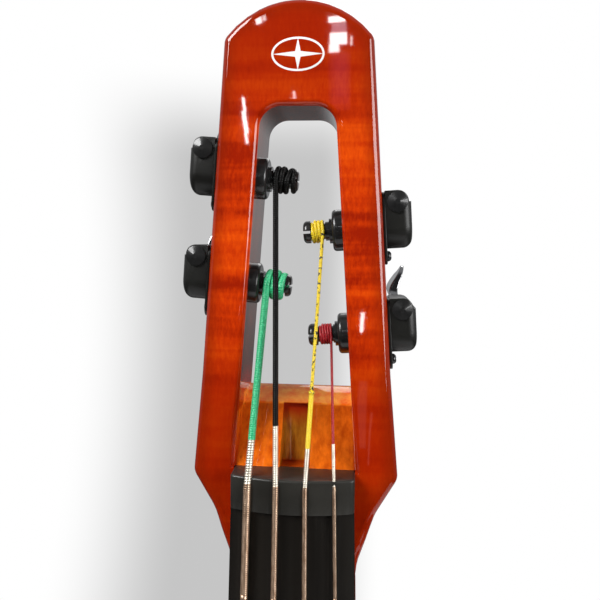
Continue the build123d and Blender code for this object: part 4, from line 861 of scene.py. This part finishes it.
def make_string(name):
    """Wound wire from the tail to the nut, bare winding above it, and silk up to the post."""
    route = rounded(string_points(name), BEND_RADII, ROUTE_STEP * MM)
    top = (route[-1].z - NUT_Z) / MM
    depth, pitch = WIRE_RIDGE[name]
    wire = WOUND[name] / 2
    smooth = carried(resampled(slice_route(route, LOWEST, FINE_FROM), SMOOTH_STEP * MM))
    ridged = slice_route(route, FINE_FROM, DARK_WIRE_TO)
    bare = slice_route(route, DARK_WIRE_TO, SILK_END[name])
    parts = [
        tube("low", smooth, WOUND_SIDES, lambda index, angle: (wire - depth * SMOOTH_LOSS) * MM),
        wrapped_bar("wound", ridged, wire, depth, pitch),
        wrapped_bar("bare", bare, wire - BARE_THINNER, depth * BARE_DEEPER, pitch * BARE_COARSER),
    ]
    materials = [MATERIALS["wound_steel"], MATERIALS["wound_steel"], BARE_WIRE]
    silk_from = SILK_END[name]
    if name == "d":
        parts.append(wrapped_bar("thick", slice_route(route, silk_from, THICK_SILK_END), *THICK_SILK))
        materials.append(SILKS["d"])
        path = resampled(slice_route(route, THICK_SILK_END, THICK_SILK_END + KNOT_LENGTH), KNOT_STEP * MM)
        swell = [math.sin(math.pi * k / (len(path) - 1)) for k in range(len(path))]

        def knot_radius(index, angle):
            return (KNOT_RADIUS + KNOT_SWELL * swell[index]) * MM

        parts.append(tube("knot", carried(path), KNOT_SIDES, knot_radius))
        materials.append(FLECKED)
        silk_from = THICK_SILK_END + THIN_SILK_FROM
    silk_route = slice_route(route, silk_from, top)
    parts.append(wrapped_bar("silk", silk_route, SILK[name] / 2, *SILK_RIDGE[name]))
    materials.append(FLECKED if name == "d" else SILKS[name])
    title = f"wound_string_{name}"
    mesh = joined(title, parts)
    return new_object(title, mesh, materials, "instrument", f"string_{name}", slot="wound_steel")


SILK_SLOTS = {"e": "silk_green", "a": "silk_black", "d": "silk_yellow", "g": "silk_red"}
POST_GAP = 0.02              # between the post and its silk
TURN_PITCH = 0.95            # a little under one thickness, so the turns lie tight
TURN_STEPS = 56
TURN_SIDES, RIDGE_STEPS = 16, 5     # the silk's sides, and its rings to each ridge
TURN_LEAD = 5                # the winding starts these steps before the string's last point
TAIL_SHARE, TAIL_POWER = 0.7, 0.7   # the tail thins to half over this share of its length


def make_winding(name):
    """The silk wound round the post; its end thins away against the post, and on A takes one more turn
    over the post's tip.
    """
    start, out, forward, up = post_frame(name)
    wire = SILK[name] / 2
    reach = BARREL + POST_GAP + wire
    pitch = SILK[name] * TURN_PITCH
    begin = WINDING_START[name] + wire
    turns = TURNS[name] - 1

    def around(turn, inward, radius):
        arm = forward * math.cos(turn) + up * math.sin(turn)
        return start - out * inward * MM + arm * radius * MM

    path = []
    for k in range(-TURN_LEAD, turns * TURN_STEPS + 1):
        path.append(around(2 * math.pi * k / TURN_STEPS, begin + pitch * max(0, k) / TURN_STEPS, reach))
    last = begin + pitch * turns
    if name == "a":
        # the spare end of the thick silk takes one more turn over the post's tip
        tail = [
            (0.20, last + pitch * 0.5, reach + 0.4),
            (0.40, last + pitch * 1.0, reach + 1.2),
            (0.60, last + pitch * 1.1, reach + 1.25),
            (0.85, last + pitch * 1.15, reach + 1.2),
            (1.10, last + pitch * 1.2, reach + 1.1),
            (1.35, last + pitch * 1.1, reach + 0.9),
            (1.50, last + pitch * 1.0, reach + 0.2),
        ]
    else:
        # the end lies on behind the post and dies away against it
        tail = [
            (0.15, last + pitch * 0.15, reach),
            (0.35, last + pitch * 0.4, reach),
            (0.55, last + pitch * 0.6, reach - 0.05),
            (0.70, last + pitch * 0.7, reach - wire * 0.8),
        ]
    control = [path[-1]]
    for share, inward, radius in tail:
        control.append(around(2 * math.pi * share, inward, radius))
    curve = bpy.data.curves.new("winding_tail", "CURVE")
    curve.dimensions = "3D"
    curve.resolution_u = 12
    spline = curve.splines.new("NURBS")
    spline.points.add(len(control) - 1)
    for point, place in zip(spline.points, control):
        point.co = (*place, 1)
    spline.order_u = 3
    spline.use_endpoint_u = True
    holder = bpy.data.objects.new("winding_tail", curve)
    bpy.context.scene.collection.objects.link(holder)
    bpy.context.view_layer.update()
    sampled = bpy.data.meshes.new_from_object(holder)
    tail_path = [v.co.copy() for v in sampled.vertices]
    bpy.data.objects.remove(holder)
    bpy.data.meshes.remove(sampled)
    whole = path + tail_path[1:]
    depth, ridge_pitch = SILK_RIDGE[name]
    points = resampled(whole, ridge_pitch * MM / RIDGE_STEPS)
    lengths = [length / MM for length in run_lengths(points)]
    tail_length = lengths[-1] - run_lengths(path)[-1] / MM
    inner = thread_radius(wire, depth, ridge_pitch, lengths)

    def radius_at(index, angle):
        left = (lengths[-1] - lengths[index]) / tail_length
        thin = 1.0 if left > TAIL_SHARE else 0.5 + 0.5 * (max(0, left) / TAIL_SHARE) ** TAIL_POWER
        return inner(index, angle) * thin * MM

    title, post, winding = f"silk_winding_{name}", f"post_{name}", f"winding_{name}"
    mesh = tube(title, carried(points), TURN_SIDES, radius_at)
    return new_object(title, mesh, SILKS[name], post, winding, slot=SILK_SLOTS[name])


# ---- Edges softened on copies of CAD nodes ----------------------------------------------------------
def softened(node, width, body, slot, angle=32):
    """A copy of a CAD node with its sharp edges rounded, which stands for the node."""
    source = frame["nodes"][node].data
    work = bmesh.new()
    work.from_mesh(source)
    bmesh.ops.remove_doubles(work, verts=work.verts, dist=1e-6)
    bmesh.ops.dissolve_limit(work, angle_limit=math.radians(1.0), verts=work.verts, edges=work.edges)
    bmesh.ops.dissolve_degenerate(work, dist=1e-6, edges=work.edges)
    mesh = bpy.data.meshes.new(f"{node}_soft")
    work.to_mesh(mesh)
    work.free()
    obj = new_object(f"{node}_soft", mesh, MATERIALS[slot], body, node, slot=slot)
    bevel = obj.modifiers.new("edges", "BEVEL")
    bevel.width = width * MM
    bevel.segments = 3
    bevel.limit_method = "ANGLE"
    bevel.angle_limit = math.radians(angle)
    bevel.harden_normals = True
    bevel.use_clamp_overlap = True
    return obj


def cast(node, voxel, rounds, body, slot):
    """A CAD node remade as one smooth casting, with every edge rounded, which stands for the node."""
    mesh = frame["nodes"][node].data.copy()
    obj = new_object(f"{node}_cast", mesh, MATERIALS[slot], body, node, slot=slot)
    remesh = obj.modifiers.new("voxels", "REMESH")
    remesh.mode = "VOXEL"
    remesh.voxel_size = voxel * MM
    remesh.use_smooth_shade = True
    smooth = obj.modifiers.new("polish", "SMOOTH")
    smooth.iterations = rounds
    smooth.factor = 0.5
    return obj


for string in STRINGS:
    make_string(string)
    make_winding(string)
    cast(f"tuner_key_{string}", 0.28, 8, f"key_{string}", "key_chrome")
    softened(f"tuner_case_{string}", 0.55, "instrument", "black_case")
softened("tuner_plates", 0.3, "instrument", "black_case")
softened("nut", 0.35, "instrument", "nut_black", angle=40)
